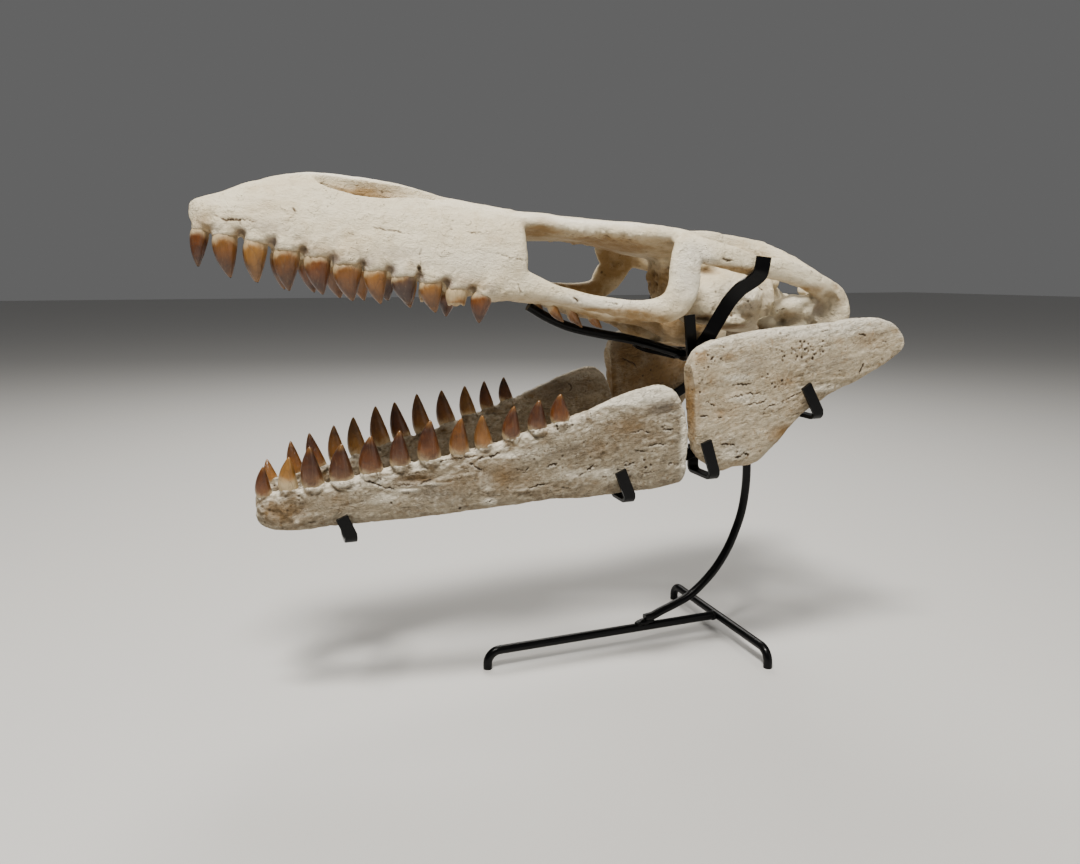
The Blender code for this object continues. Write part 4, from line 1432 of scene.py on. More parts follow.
REAR_JAW_MARKS = Marks(
    dents=patches(
        (132, 113, 296, 10, 8, 5, 1.3), (206, 118, 272, 30, 12, 12, 1.4), (150, 115, 320, 26, 12, 10, 0.9),
        (296, 128, 362, 30, 12, 14, 1.2), (240, 124, 318, 40, 12, 10, 1), (180, 118, 300, 40, 12, 8, -0.9)),
    # The brown places on the inner face are painted shade.
    stains_and_shade=patches(
        (106, 98, 300, 12, 20, 66, 1), (206, 116, 270, 26, 16, 15, 1), (133, 113, 294, 10, 8, 6, 0.9),
        (112, 106, 350, 14, 16, 12, 0.8), (140, 112, 296, 26, 10, 18, 0.3),
        (230, 122, 300, 40, 12, 20, 0.35), (126, 92, 336, 26, 18, 26, 1.8, 1),
        (150, 92, 300, 70, 20, 50, 0.9, 1), (200, 100, 330, 90, 20, 60, 0.6, 1),
        (300, 126, 366, 30, 14, 16, 0.35), (140, 114, 352, 14, 10, 9, 0.7), (265, 126, 364, 9, 10, 7, 0.6),
        (205, 119, 325, 24, 12, 12, 0.45), (122, 112, 330, 10, 10, 14, 0.4)),
    greys=patches(
        (165, 117, 344, 34, 14, 18, 0.45), (250, 124, 340, 50, 14, 16, 0.35),
        (170, 94, 312, 54, 20, 36, 1, 1), (150, 114, 262, 26, 12, 16, 0.35)),
    # The pale band along the top edge is painted highlight.
    rubs_and_highlights=patches(
        (230, 118, 380, 130, 30, 16, 1.3), (150, 113, 330, 24, 10, 6, 0.8), (150, 113, 252, 30, 10, 12, 0.7),
        (160, 115, 308, 34, 10, 7, 0.7), (250, 124, 316, 50, 12, 8, 0.6), (104, 98, 320, 6, 12, 50, 0.7, 1)),
    rough=patches(
        (230, 122, 358, 28, 14, 16, 0.4), (203, 119, 324, 24, 14, 12, 0.35),
        (134, 113, 292, 16, 12, 10, 0.4)),
    pitted=patches(
        (230, 122, 358, 26, 14, 15, 1.8), (203, 119, 324, 20, 12, 10, 1.2), (215, 120, 355, 44, 20, 22, 0.8),
        (130, 112, 352, 26, 14, 16, 0.4), (174, 116, 332, 24, 14, 14, 0.5), (196, 118, 322, 22, 14, 12, 0.5),
        (112, 108, 330, 10, 20, 34, 0.5)),
    cracks=cracks(
        (1.25, 1.4, 117, 306, 122, 304, 127, 302), (1.25, 1.3, 112, 292, 121, 291),
        (1.09, 1.1, 132, 290, 136, 289), (1.25, 1.4, 136, 261, 152, 260),
        (1.56, 2, 154, 246, 162, 250, 169, 249), (1.25, 1.1, 146, 322, 166, 324),
        (1.17, 1, 140, 308, 158, 313, 182, 312), (1.01, 0.9, 160, 300, 186, 306),
        (1.01, 0.9, 178, 296, 204, 304, 226, 314), (1.25, 1.6, 296, 340, 292, 330),
        (1.4, 1.2, 121, 349, 124, 352), (1.09, 1, 288, 372, 296, 370))
    + cracks((1.01, 1, 118, 332, 134, 326, 140, 318), inner=True))


# ---- cranium


@dataclass
class Cranium:
    """Snout, roof, cheeks, arches, braincase, quadrates and palate, fused into one mass."""

    gum_half: Profile = Profile(
        (-357, 5), (-355, 8), (-352, 13.5), (-344, 21), (-330, 29), (-306, 37), (-256, 48), (-206, 57),
        (-156, 65), (-106, 71), (-60, 77))
    gum_z: Profile = Profile(
        (-357, 481), (-352, 476), (-334, 470), (-313, 467), (-285, 459), (-256, 452), (-201, 439),
        (-150, 428), (-103, 416), (-60, 409))
    ridge_z: Profile = Profile(
        (-357, 489), (-355, 494), (-352, 497.5), (-346, 500), (-327, 506), (-301, 516), (-273, 523),
        (-245, 527), (-218, 525), (-160, 516), (-130, 508), (-99, 502), (-60, 496))
    snout_full: Profile = Profile(
        (-357, 2.3), (-300, 1.9), (-240, 1.55), (-190, 1.6), (-150, 2), (-110, 2.6), (-60, 3.6))
    snout_stations: Row = (
        -355, -352.5, -346, -332, -310, -280, -250, -220, -190, -160, -130, -100, -75, -65)
    # How far behind the last station, and how much smaller, each ring that closes the snout is.
    snout_end: tuple[Pair, ...] = ((3, 0.985), (5, 0.955), (6.3, 0.91), (6.8, 0.84))
    palate_vault: Profile = Profile((-357, 2), (-330, 8), (-200, 16), (-60, 14))
    gum_rim: float = 19
    roof_half: Profile = Profile(
        (-150, 16), (-110, 42), (-79, 58), (-60, 62), (0, 61), (40, 64), (80, 75), (108, 82), (124, 76))
    roof_z: Profile = Profile(
        (-150, 506), (-99, 499), (-60, 495), (0, 490), (40, 488), (84, 485), (124, 480))
    roof_stations: Row = (-150, -120, -90, -60, -20, 20, 60, 85, 105, 118, 124)
    brow_edge: float = 11.5
    roof_dome: float = 2
    keel_bottom: Profile = Profile(
        (-150, 484), (-100, 472), (-32, 467), (24, 467), (47, 462.5), (71, 456.5), (95, 451), (126, 449))
    parietal_half: Profile = Profile((100, 40), (125, 27), (150, 17), (190, 13), (225, 15), (248, 20))
    parietal_z: Profile = Profile((100, 482), (134, 480), (164, 480), (204, 476), (248, 470))
    parietal_thick: float = 30
    parietal_stations: Row = (100, 118, 135, 155, 190, 225, 248)
    brain_half: Profile = Profile(
        (116, 18), (126, 35), (150, 43), (185, 43), (228, 38), (248, 33), (262, 26), (274, 17), (286, 10))
    brain_bottom: Profile = Profile(
        (116, 408), (126, 396), (145, 388), (165, 383), (182, 378), (197, 370), (228, 366), (264, 386),
        (286, 396))
    brain_top: Profile = Profile(
        (116, 440), (130, 436), (148, 429), (165, 435), (190, 442), (225, 441), (248, 434), (264, 420),
        (286, 406))
    brain_stations: Row = (116, 122, 132, 150, 175, 200, 225, 240, 252, 264, 276, 286)
    cheek_left: Stations = (
        (-98, 64, 428, 22, 10), (-52, 69, 419.5, 13, 9), (-20, 75, 411, 8.5, 8), (20, 80, 402.5, 8.3, 8),
        (60, 85.5, 397.5, 11, 8), (86, 89, 402, 16, 8), (98, 90, 420, 17.5, 8), (101, 88, 445, 17.5, 8),
        (108, 83, 461, 17.5, 8), (108, 74, 470, 16, 5))
    cheek_right: Stations = (
        (-98, 64, 428, 22, 10), (-52, 69, 423, 12, 9), (-20, 75, 418, 9.5, 8), (20, 80, 414, 9.5, 8),
        (60, 85.5, 412, 11, 8), (83, 89, 415, 13, 8), (97, 90, 428, 18, 8), (111, 88, 447, 19, 8),
        (108, 83, 459, 28, 8), (106, 74, 469, 34, 5))
    arch: Stations = (
        (96, 78, 464, 11, 7), (121, 86, 455.5, 12.5, 8), (161, 91, 446, 12, 8), (182, 92, 440, 11.5, 8),
        (211, 93, 437, 11.5, 8), (240, 92, 429, 11.5, 8.5), (266, 89, 419.5, 12, 9),
        (284, 87, 409, 13.5, 10), (291, 86, 396, 14.5, 10), (291, 86, 385, 13.5, 9), (291, 86, 380, 9, 6))
    ramus: Stations = (
        (232, 4, 462, 9, 9), (246, 18, 456, 10, 9), (258, 36, 446, 10, 9), (270, 56, 433, 10, 9),
        (283, 76, 418, 10, 8), (290, 86, 408, 9, 7))
    pterygoid: Stations = (
        (-90, 17, 424, 8, 11), (-50, 20, 413, 8, 11), (-12, 24, 408, 8.5, 9), (30, 31, 396, 9.5, 9),
        (74, 40, 390, 10.5, 9), (110, 47, 376, 13, 9), (135, 51, 366, 9, 9), (170, 58, 358, 7.5, 8),
        (205, 67, 366, 7, 7), (238, 76, 379, 8, 6))
    ectopterygoid: Stations = ((72, 40, 389, 6, 8), (84, 62, 391, 5.5, 8), (90, 88, 398, 7, 9))
    quadrate_head: Stations = (
        (214, 77, 396, 9, 8), (236, 79, 397, 13.5, 11), (255, 80, 396, 14, 12), (271, 79, 402, 16, 7),
        (290, 82, 402, 18, 8))
    quadrate_shaft: Stations = (
        (246, 79, 398, 15, 10), (243, 79, 374, 15, 10), (242, 80, 354, 15, 11), (242, 80, 348, 10, 8))
    brain_ridge: Stations = (
        (232, 33, 436, 4, 6), (236, 37, 418, 4.5, 7), (240, 37, 400, 5, 7), (246, 33, 384, 4, 6))
    # Centre and radii of swellings on the left side.
    swellings: Stations = (
        (207, 36, 408, 20, 14, 14), (160, 36, 398, 24, 10, 20), (190, 30, 382, 26, 12, 9),
        (231, 86, 401, 16, 9, 11), (245, 87, 406, 7, 7, 5), (246, 30, 424, 8, 9, 10),
        (217, 70, 382, 16, 9, 8), (246, 76, 386, 20, 9, 8), (272, 80, 386, 14, 9, 10),
        (270, 64, 416, 12, 15, 10), (284, 0, 402, 9, 10, 9), (296, 92, 392, 6, 6, 12))
    # Centre and radii of hollows scooped out of each side.
    scoops: Stations = ((270, 105, 389, 23, 20, 29), (211, 46, 386, 13, 7, 5), (150, 44, 384, 14, 8, 5))
    internarial_bar: Stations = (
        (-266, 0, 516, 8, 8), (-240, 0, 518.5, 8.5, 9), (-205, 0, 515.5, 8.5, 8.5), (-165, 0, 508.5, 8.5, 8),
        (-125, 0, 498, 8.5, 8), (-100, 0, 492, 8, 8))
    # Fillers inside the mass: under the front of the roof, and from the braincase to the roof.
    palate_block: Stations = ((-88, 0, 420, 12, 30), (-24, 0, 418, 10, 22))
    brain_block: tuple[Pair, ...] = ((112, 236), (-17, 17), (425, 462))
    naris: Stations = (
        (-240, 13, 516, 3, 3), (-228, 15.5, 508, 12, 5), (-198, 17.5, 501, 13, 6.5), (-168, 18, 498, 11, 6),
        (-143, 17, 498, 7, 4), (-124, 17, 498, 2, 1.5))
    naris_lip: Stations = (
        (-250, 13, 529, 4, 4), (-232, 20, 521, 11.5, 11), (-198, 23, 512.5, 12, 13),
        (-165, 23, 511, 10.5, 12), (-140, 23, 509, 8, 10), (-112, 23, 507, 4, 5))
    # Front to back: base x, shift of the tip along x, crown height, width, tone.
    teeth: tuple[tuple[float, float, float, float, Tone], ...] = (
        (-346, -5, 34, 15, Tone.BROWN), (-326, 2, 39.5, 21.5, Tone.AMBER),
        (-300, -1.5, 38.5, 20.5, Tone.TAN), (-274, -1.3, 38.5, 23, Tone.AMBER),
        (-249, 2.7, 36, 23.5, Tone.RED), (-223, 2.4, 35.6, 26, Tone.AMBER),
        (-199.5, 3.7, 33, 21, Tone.ORANGE), (-174, 3.7, 28, 23.5, Tone.GREY),
        (-149.6, 3.3, 30.6, 22, Tone.ORANGE), (-125, -0.7, 30, 21, Tone.CREAM),
        (-101, -5.3, 28.5, 20, Tone.RED))
    tooth_socket: Stations = (
        (-22, 4, 0.6, 0.5), (-14, 2, 0.88, 0.82), (-6, 0.5, 1.02, 0.98), (-1, 0, 1.08, 1.02),
        (2.2, 0, 1.04, 0.98), (4, 0, 0.92, 0.86))
    broken: int = 9
    broken_at: float = 0.56
    tooth_inset: float = 8.5
    tooth_out_least: float = 7
    tooth_worn: float = 0.3
    tip_out: float = 2
    # Base x, y, z, shift of the tip along x, length.
    palate_teeth: Stations = ((-18, 24, 404, 15, 20), (2, 26, 402, 15, 24), (25, 29, 394, 13, 17))
    palate_tooth_width: float = 11
    palate_tooth_worn: float = 0.6
    # Reach along the crown's axis and half width.
    palate_socket: Stations = ((-6, 4), (0, 6), (3, 5.6))
    palate_tooth_bow: float = 0.4
    tooth_bow: float = 0.16
    tooth_flatness: float = 0.9
    melt: Melt = Melt(1.25)
    limit: int = 190000
    seed: int = 7
    pits: int = 5000
    pit_radius: Pair = (1, 2.4)
    pit_depth: float = 1.1
    # Smoothing passes that tell a hollow from its surroundings.
    broad_passes: int = 40
    fine_passes: int = 6
    # Where painted shade darkens the pterygoids and the bottom of the braincase.
    shade: Patch = Patch((100, 48, 376), (90, 30, 20))

    nodes = ("premaxilla", "maxilla_left", "maxilla_right", "frontal", "parietal", "braincase",
             "jugal_left", "jugal_right", "temporal_arch_left", "temporal_arch_right",
             "quadrate_left", "quadrate_right", "pterygoid_left", "pterygoid_right")

    def snout_ring(self, x: float, count: int = 22) -> list[Point]:
        """Section of the snout at x: an arch from gum to gum and the vaulted palate under it.

        Args:
            x: where along the skull.
            count: points on the arch.

        Returns:
            The ring's points.
        """
        half = self.gum_half(x)
        low = self.gum_z(x) + 4
        high = self.ridge_z(x)
        power = 2 / self.snout_full(x)
        rim = min(self.gum_rim, half * 0.55)
        ring = []
        for i in range(count * 2 + 1):
            angle = math.pi * i / (count * 2)
            c = math.cos(angle)
            ring.append((x, math.copysign(abs(c) ** power, c) * half,
                         low + (high - low) * math.sin(angle) ** power))
        vault = self.palate_vault(x) - 4
        for y, z in ((-half + 3, -2.5), (-half + rim * 0.6, -3.5), (-half + rim, 0),
                     (-(half - rim) / 2, vault), (0, vault + 1), ((half - rim) / 2, vault),
                     (half - rim, 0), (half - rim * 0.6, -3.5), (half - 3, -2.5)):
            ring.append((x, y, low + z))
        return ring

    def roof_ring(self, x: float) -> list[Point]:
        """Section of the roof at x: gently domed, round-browed and deepest in the middle.

        Args:
            x: where along the skull.

        Returns:
            The ring's points.
        """
        half = self.roof_half(x)
        top = self.roof_z(x)
        deep = top - self.brow_edge - self.keel_bottom(x)
        ring = []
        for y, up in superellipse(60, 1, 1, 2.6):
            reach = self.brow_edge if up > 0 else deep + (self.brow_edge - deep) * abs(y) ** 1.8
            ring.append((x, y * half, top - self.roof_dome * y * y - self.brow_edge + up * reach))
        return ring

    def add_middle(self, form: Form) -> None:
        """Snout, palate, the bar between the nostrils, the roof and the braincase.

        Args:
            form: the shapes so far.
        """
        last = self.snout_ring(self.snout_stations[-1])
        heart = np.mean(last, axis=0)
        closing = [heart + (np.array(last) - heart) * share + (behind, 0, 0)
                   for behind, share in self.snout_end]
        form.skin([self.snout_ring(x) for x in spread(self.snout_stations, 4)] + closing)
        form.sweep(self.internarial_bar)
        form.sweep(self.palate_block, power=4)
        form.skin([self.roof_ring(x) for x in spread(self.roof_stations, 3)])
        self._slab(form, self.parietal_stations, self.parietal_half,
                   lambda x: self.parietal_z(x) - self.parietal_thick, self.parietal_z, 3)
        self._slab(form, self.brain_stations, self.brain_half, self.brain_bottom, self.brain_top, 2.4)
        form.box(*self.brain_block)

    @staticmethod
    def _slab(form: Form, stations: Sequence[float], half: Profile, bottom: Callable[[float], float],
              top: Callable[[float], float], power: float) -> None:
        """Add a block down the middle, between a bottom and a top line.

        Args:
            form: the shapes so far.
            stations: where its sections are.
            half: its half width.
            bottom: its lower line.
            top: its upper line.
            power: squareness of a section, 2 for an ellipse.
        """
        form.skin([[(x, y, (top(x) + bottom(x)) / 2 + z)
                    for y, z in superellipse(32, half(x), (top(x) - bottom(x)) / 2, power)]
                   for x in spread(stations, 3)])

    def add_side(self, form: Form, side: Side) -> None:
        """Cheek, arch, parietal arm, palate bars, quadrate, swellings and sockets of one side.

        Args:
            form: the shapes so far.
            side: left or right.
        """
        cheek = self.cheek_left if side is Side.LEFT else self.cheek_right
        for bar in (cheek, self.arch, self.ramus, self.pterygoid, self.ectopterygoid,
                    self.quadrate_head, self.quadrate_shaft, self.brain_ridge):
            form.sweep(mirrored(bar, side))
        for row in mirrored(self.swellings, side):
            form.ball(row[:3], row[3:])
        for tooth in self.upper_row(side):
            form.sweep(tooth.socket(self.tooth_socket), 3)
        for tooth in self.palate_row(side):
            form.sweep([(*(Vector(tooth.base) + tooth.axis * reach), half, half)
                        for reach, half in self.palate_socket], 3)

    def hollows(self, side: Side) -> list[Form]:
        """Nostril and scooped places of one side.

        Args:
            side: left or right.

        Returns:
            The shapes to cut away.
        """
        made = []
        for path in (self.naris, self.naris_lip):
            form = Form()
            form.sweep(mirrored(path, side))
            made.append(form)
        for row in mirrored(self.scoops, side):
            form = Form()
            form.ball(row[:3], row[3:])
            made.append(form)
        return made

    def upper_row(self, side: Side) -> list[Tooth]:
        """Crowns along one side of the snout, the broken one among them.

        Args:
            side: left or right.

        Returns:
            The row.
        """
        row = []
        for i, (x, shift, height, width, tone) in enumerate(self.teeth):
            out = max(self.gum_half(x) - self.tooth_inset, self.tooth_out_least)
            gum = self.gum_z(x)
            row.append(Tooth((x, side.value * out, gum),
                             (x + shift, side.value * (out + self.tip_out), gum - height), width,
                             tone, self.tooth_worn, self.broken_at if i == self.broken else 1.0))
        return row

    def palate_row(self, side: Side) -> list[Tooth]:
        """Small hooked crowns on one pterygoid.

        Args:
            side: left or right.

        Returns:
            The row.
        """
        return [Tooth((x, y * side.value, z), (x + shift, y * side.value, z - length),
                      self.palate_tooth_width, Tone.ORANGE, self.palate_tooth_worn)
                for x, y, z, shift, length in self.palate_teeth]

    def gum_lumps(self, skin: Surface) -> Array:
        """Small lumps along the tooth-bearing edge, which is painted a little dirty.

        Args:
            skin: the skin.

        Returns:
            How far each point is pushed out.
        """
        x, y, z = skin.points.T
        gum = self.gum_z.straight(x)
        near = np.clip(1 - np.abs(z - gum - 4) / 16, 0, 1) * (x < self.snout_stations[-1])
        near *= np.abs(y) > self.gum_half.straight(x) - 16
        skin.paint["stain_and_shade"] += near * (0.08 + 0.3 * skin.noise(9, 12))
        skin.paint["grey"] += near * (0.08 + 0.35 * skin.noise(12, 13))
        return near * (0.8 * skin.noise(4.5, 10) + 0.5 * skin.noise(2.6, 11))

    def build(self) -> Mesh:
        """Model the cranium whole, then carve and paint its skin.

        Returns:
            The finished mesh.
        """
        form = Form()
        self.add_middle(form)
        hollows = []
        for side in Side:
            self.add_side(form, side)
            hollows += self.hollows(side)
        skin = Surface(self.melt(form, hollows), self.seed)
        under = np.clip(-skin.normals[:, 2], 0, 1)
        inside = (skin.normals[:, 1] * skin.points[:, 1] < 0) * np.clip(np.abs(skin.normals[:, 1]), 0, 1)
        skin.push(0.8 * skin.noise(36, 1) + 0.5 * skin.noise(14, 2) + 0.2 * skin.noise(5, 3)
                  - 0.5 * np.abs(skin.noise((44, 12, 9), 5, -0.12)) + 0.5 * under * skin.noise(7, 4)
                  + self.gum_lumps(skin))
        deep = np.zeros(len(skin.points))
        for side in Side:
            skin.mark(CRANIUM_MARKS, side)
            for crack in CRANIUM_MARKS.cracks:
                skin.crack(deep, crack, side)
            chance = skin.weigh(CRANIUM_MARKS.pitted, side) + 0.006
            deep = np.maximum(deep, skin.pits(self.pits, self.pit_radius, self.pit_depth, chance))
            # Painted shade round the pterygoids.
            skin.paint["painted_shade_and_dirt"] += 0.55 * skin.weigh((self.shade,), side)
        skin.carve(deep)
        skin.refresh()
        # Painted shade, with grime, in hollows and small crevices.
        hollow = skin.hollowness(self.broad_passes)
        small = skin.hollowness(self.fine_passes)
        skin.paint["painted_shade_and_dirt"] += np.clip(hollow / 2.2, 0, 1) * 0.6 + np.clip(small / 0.5, 0, 1) * 0.35
        # Painted shade on undersides and on faces turned towards the middle plane.
        skin.paint["stain_and_shade"] += np.clip(under * 0.75 + inside * 0.35 - 0.1, 0, 0.6)
        return thinned(skin.finish(), self.limit)

    def dress(self, palette: Palette, tree: CrownTree) -> None:
        """Build every piece of the cranium and hand it over.

        Args:
            palette: the materials.
            tree: the tree that grows the crowns.
        """
        settle(self.build(), "cranium_bone", palette.skull, Slot.SKULL, *self.nodes)
        for side in Side:
            tree.dress(self.upper_row(side), f"upper_crowns_{side.word}", self.tooth_bow,
                       self.tooth_flatness, palette.enamel)
            tree.dress(self.palate_row(side), f"palate_crowns_{side.word}", self.palate_tooth_bow,
                       self.tooth_flatness, palette.enamel)


# ---- lower jaw


@dataclass
class LowerJaw:
    """Tooth-bearing dentaries and the toothless bones behind them."""

    x0: float = -306
    row_bend: Point = (18, 0.29, -0.00028)
    dentary_top: Profile = Profile(
        (-316, 214), (-314, 219), (-309, 225), (-295, 230), (-260, 234), (-235, 239), (-190, 251),
        (-127, 263), (-78, 276), (-33, 289), (-6, 299), (18, 308), (50, 319), (76, 323.5), (88, 319),
        (97, 308), (103, 290), (105.5, 276))
    dentary_bottom: Profile = Profile(
        (-316, 206), (-314, 200), (-309, 196), (-295, 191), (-280, 190), (-247, 195), (-178, 199),
        (-127, 203), (-60, 209), (47, 214), (98, 219), (103, 222), (105.5, 228))
    dentary_half: Profile = Profile(
        (-316, 6), (-312, 9), (-300, 10.5), (-240, 10), (0, 9.5), (98, 9), (105.5, 7))
    dentary_stations: Row = (
        -316, -313, -307, -296, -270, -240, -210, -180, -150, -120, -90, -60, -30, 0, 30, 60, 80, 92, 99,
        103, 105.5)
    # Front to back: base x, shift of the tip along x, height of the tip, width, tone.
    near_teeth: tuple[tuple[float, float, float, float, Tone], ...] = (
        (-307, 0, 255.3, 15, Tone.RED), (-284.5, 1, 264, 18.5, Tone.CREAM), (-261, -4, 274, 21, Tone.PURPLE),
        (-235, -1, 276, 23, Tone.PURPLE), (-208, -1.5, 283, 22.5, Tone.BROWN),
        (-181, -2, 287.5, 20, Tone.PURPLE), (-154, -0.5, 296.6, 22.5, Tone.BROWN),
        (-126, 0.5, 298, 19.5, Tone.AMBER), (-102, -4, 300, 17.5, Tone.ORANGE),
        (-76, 1, 308, 18.5, Tone.BROWN), (-50, -0.5, 313, 19.5, Tone.PURPLE),
        (-26.5, -3.5, 318.5, 20, Tone.RED))
    far_teeth: tuple[tuple[float, float, float, float, Tone], ...] = (
        (-297, -5, 251.5, 13, Tone.ORANGE), (-272, -6, 267, 16, Tone.AMBER), (-250, -9, 273, 18, Tone.RED),
        (-229.5, -4, 278.4, 18, Tone.ORANGE), (-208, -4.5, 285, 19, Tone.TAN),
        (-182, -6, 294.5, 20, Tone.ORANGE), (-158.6, -8, 297, 20, Tone.RED),
        (-134, -7, 304, 20, Tone.ORANGE), (-106, -6, 306, 20, Tone.AMBER), (-80, -4, 309, 18, Tone.TAN),
        (-57, -3, 313, 16, Tone.RED), (-33, -2.5, 316, 16, Tone.BROWN))
    tooth_socket: Stations = (
        (-18, 0, 0.5, 0.45), (-8, 0, 0.75, 0.7), (0, 0, 1.04, 0.98), (3.2, 0, 1.04, 0.98),
        (5.6, 0, 0.93, 0.87))
    tooth_bow: float = 0.2
    tooth_flatness: float = 0.84
    tooth_worn: float = 0.7
    tip_out: float = 6
    gum_drop: float = 3
    # The groove along the inner face: its height, depth, half width, and where it has faded out.
    groove: Profile = Profile((-250, 208), (-60, 226), (40, 250))
    groove_depth: float = 2.6
    groove_half: float = 5
    groove_end: float = 60
    post_top: Profile = Profile(
        (102, 344), (105, 352), (112, 360), (126, 367), (165, 374), (207, 379.5), (251, 383), (291, 388),
        (314, 387.5), (330, 382.5), (340, 374), (343.5, 364))
    post_bottom: Profile = Profile(
        (102, 264), (105, 255), (112, 246), (124, 238), (138, 231), (156, 235), (173, 236), (205, 261),
        (227, 284), (249, 300), (302, 325), (328, 341), (340, 351), (343.5, 358))
    # A station, how far out the outer face is there, and how it widens.
    post_outer: Point = (104, 108.8, 0.098)
    post_thick: Profile = Profile((102, 21), (112, 24), (160, 25), (250, 21), (330, 16), (343.5, 9))
    post_stations: Row = (102, 105, 112, 124, 140, 156, 173, 205, 227, 249, 275, 302, 328, 340, 343.5)
    post_lean: float = 6.5
    post_lean_z: Pair = (300, 335)
    post_lean_end: float = 150
    melt: Melt = Melt(0.9)
    limit: int = 150000
    front_seed: int = 20
    rear_seed: int = 40
    front_slope: float = 0.13
    rear_slope: float = 0.2
    loose: int = 30
    pits: int = 7000
    pit_radius: Pair = (0.9, 2.1)
    pit_depth: float = 1.1
    broad_passes: int = 30
    fine_passes: int = 5
    chin: Patch = Patch((-292, 32, 208), (34, 26, 24))

    def row(self, x: float) -> float:
        """Distance of the tooth row from the middle plane."""
        along = x - self.x0
        return self.row_bend[0] + self.row_bend[1] * along + self.row_bend[2] * along * along

    def lower_row(self, side: Side) -> list[Tooth]:
        """Crowns of one dentary.

        Args:
            side: left or right.

        Returns:
            The row.
        """
        row = []
        for x, shift, tip, width, tone in self.near_teeth if side is Side.LEFT else self.far_teeth:
            out = self.row(x)
            row.append(Tooth((x, side.value * out, self.dentary_top(x) - self.gum_drop),
                             (x + shift, side.value * (out + self.tip_out), tip), width, tone,
                             self.tooth_worn))
        return row

    def dentary(self, side: Side) -> Mesh:
        """One tooth-bearing bone.

        Args:
            side: left or right.

        Returns:
            The finished mesh.
        """
        form = Form()
        rings = []
        for x in spread(self.dentary_stations, 3):
            top = self.dentary_top(x)
            bottom = self.dentary_bottom(x)
            rings.append([(x, side.value * (self.row(x) + y), (top + bottom) / 2 + z)
                          for y, z in superellipse(40, self.dentary_half(x), (top - bottom) / 2, 3.2)])
        form.skin(rings)
        for tooth in self.lower_row(side):
            form.sweep(tooth.socket(self.tooth_socket), 3)
        skin = Surface(self.melt(form), self.front_seed + side.value)
        lumps = self.chin.weight(skin.points, side)
        skin.push(lumps * (3.0 * skin.noise(10, 7) + 1.6 * skin.noise(5, 8)))
        edge = self.dentary_top.straight(skin.points[:, 0])
        gum = np.clip(1 - np.abs(skin.points[:, 2] - edge + 3) / 12, 0, 1) * (skin.points[:, 0] < 0)
        skin.push(gum * (0.9 * skin.noise(4.6, 10) + 0.6 * skin.noise(2.8, 11)))
        skin.paint["stain_and_shade"] += gum * (0.25 + 0.5 * skin.noise(7, 12))
        x, _, z = skin.points.T
        inner = np.clip(-side.value * skin.normals[:, 1], 0, 1)
        near = np.exp(-((z - self.groove.straight(x)) / self.groove_half) ** 2)
        skin.push(-self.groove_depth * near * inner
                  * np.clip((self.groove_end - x) / self.groove_end, 0, 1))
        # Painted shade on the inner face, deepest in the groove.
        skin.paint["stain_and_shade"] += inner * 0.35 + 0.4 * near * inner
        return self._weather(skin, FRONT_JAW_MARKS, side, self.front_slope, (-300, 80),
                             (self.dentary_bottom, self.dentary_top))

    def postdentary(self, side: Side) -> Mesh:
        """One of the toothless bones at the rear of the jaw.

        Args:
            side: left or right.

        Returns:
            The finished mesh.
        """
        form = Form()
        rings = []
        at, there, widening = self.post_outer
        for x in spread(self.post_stations, 4):
            outer = there + widening * (x - at)
            thick = self.post_thick(x)
            top = self.post_top(x)
            bottom = self.post_bottom(x)
            ring = []
            for y, z in superellipse(44, thick / 2, (top - bottom) / 2, 3.6):
                height = (top + bottom) / 2 + z
                low = (self.post_lean_z[1] - height) / (self.post_lean_z[1] - self.post_lean_z[0])
                front = (self.post_lean_end - x) / (self.post_lean_end - self.post_stations[0])
                lean = self.post_lean * min(max(low, 0), 1) * max(0, front)
                ring.append((x + lean, side.value * (outer - thick / 2 - y), height))
            rings.append(ring)
        form.skin(rings)
        skin = Surface(self.melt(form), self.rear_seed + side.value)
        inner = np.clip(-side.value * skin.normals[:, 1], 0, 1)
        # Painted shade on the inner face.
        skin.paint["stain_and_shade"] += inner * 0.3
        skin.paint["painted_shade_and_dirt"] += inner * 0.45
        return self._weather(skin, REAR_JAW_MARKS, side, self.rear_slope, (112, 320),
                             (self.post_bottom, self.post_top))

    def _weather(self, skin: Surface, marks: Marks, side: Side, slope: float,
                 reach: Pair, edges: tuple[Profile, Profile]) -> Mesh:
        """Carve and paint a jaw bone.

        Args:
            skin: its skin.
            marks: its own marks.
            side: left or right.
            slope: rise of its grain along X.
            reach: where loose cracks may start.
            edges: its bottom and its top edge.

        Returns:
            The finished mesh.
        """
        worn = np.clip(0.62 + 0.9 * skin.noise((44, 20, 22), 9), 0.2, 1.1)
        skin.push(0.9 * skin.noise(34, 1) + 0.5 * skin.noise((24, 10, 8), 2, slope)
                  - 0.8 * np.abs(skin.noise((20, 11, 11), 5, slope))
                  + worn * (0.4 * skin.noise((8, 6, 6), 3, slope) + 0.3 * skin.noise((4, 3, 3), 4, slope)
                            - 0.6 * np.abs(skin.noise((7, 5, 5), 6, slope))))
        skin.push(0.22 * skin.noise(2.6, 10))
        skin.mark(marks, side)
        skin.paint["rub_and_highlight"] += np.clip(skin.noise(3.4, 14) - 0.3, 0, 1) * 0.4
        skin.paint["stain_and_shade"] += np.clip(skin.noise(3.2, 15) - 0.35, 0, 1) * 0.8
        deep = np.zeros(len(skin.points))
        for crack in list(marks.cracks) + skin.loose_cracks(self.loose, reach, edges, slope):
            skin.crack(deep, crack, side)
        chance = skin.weigh(marks.pitted, side) + 0.02
        deep = np.maximum(deep, skin.pits(self.pits, self.pit_radius, self.pit_depth, chance))
        skin.carve(deep)
        skin.refresh()
        hollow = skin.hollowness(self.broad_passes)
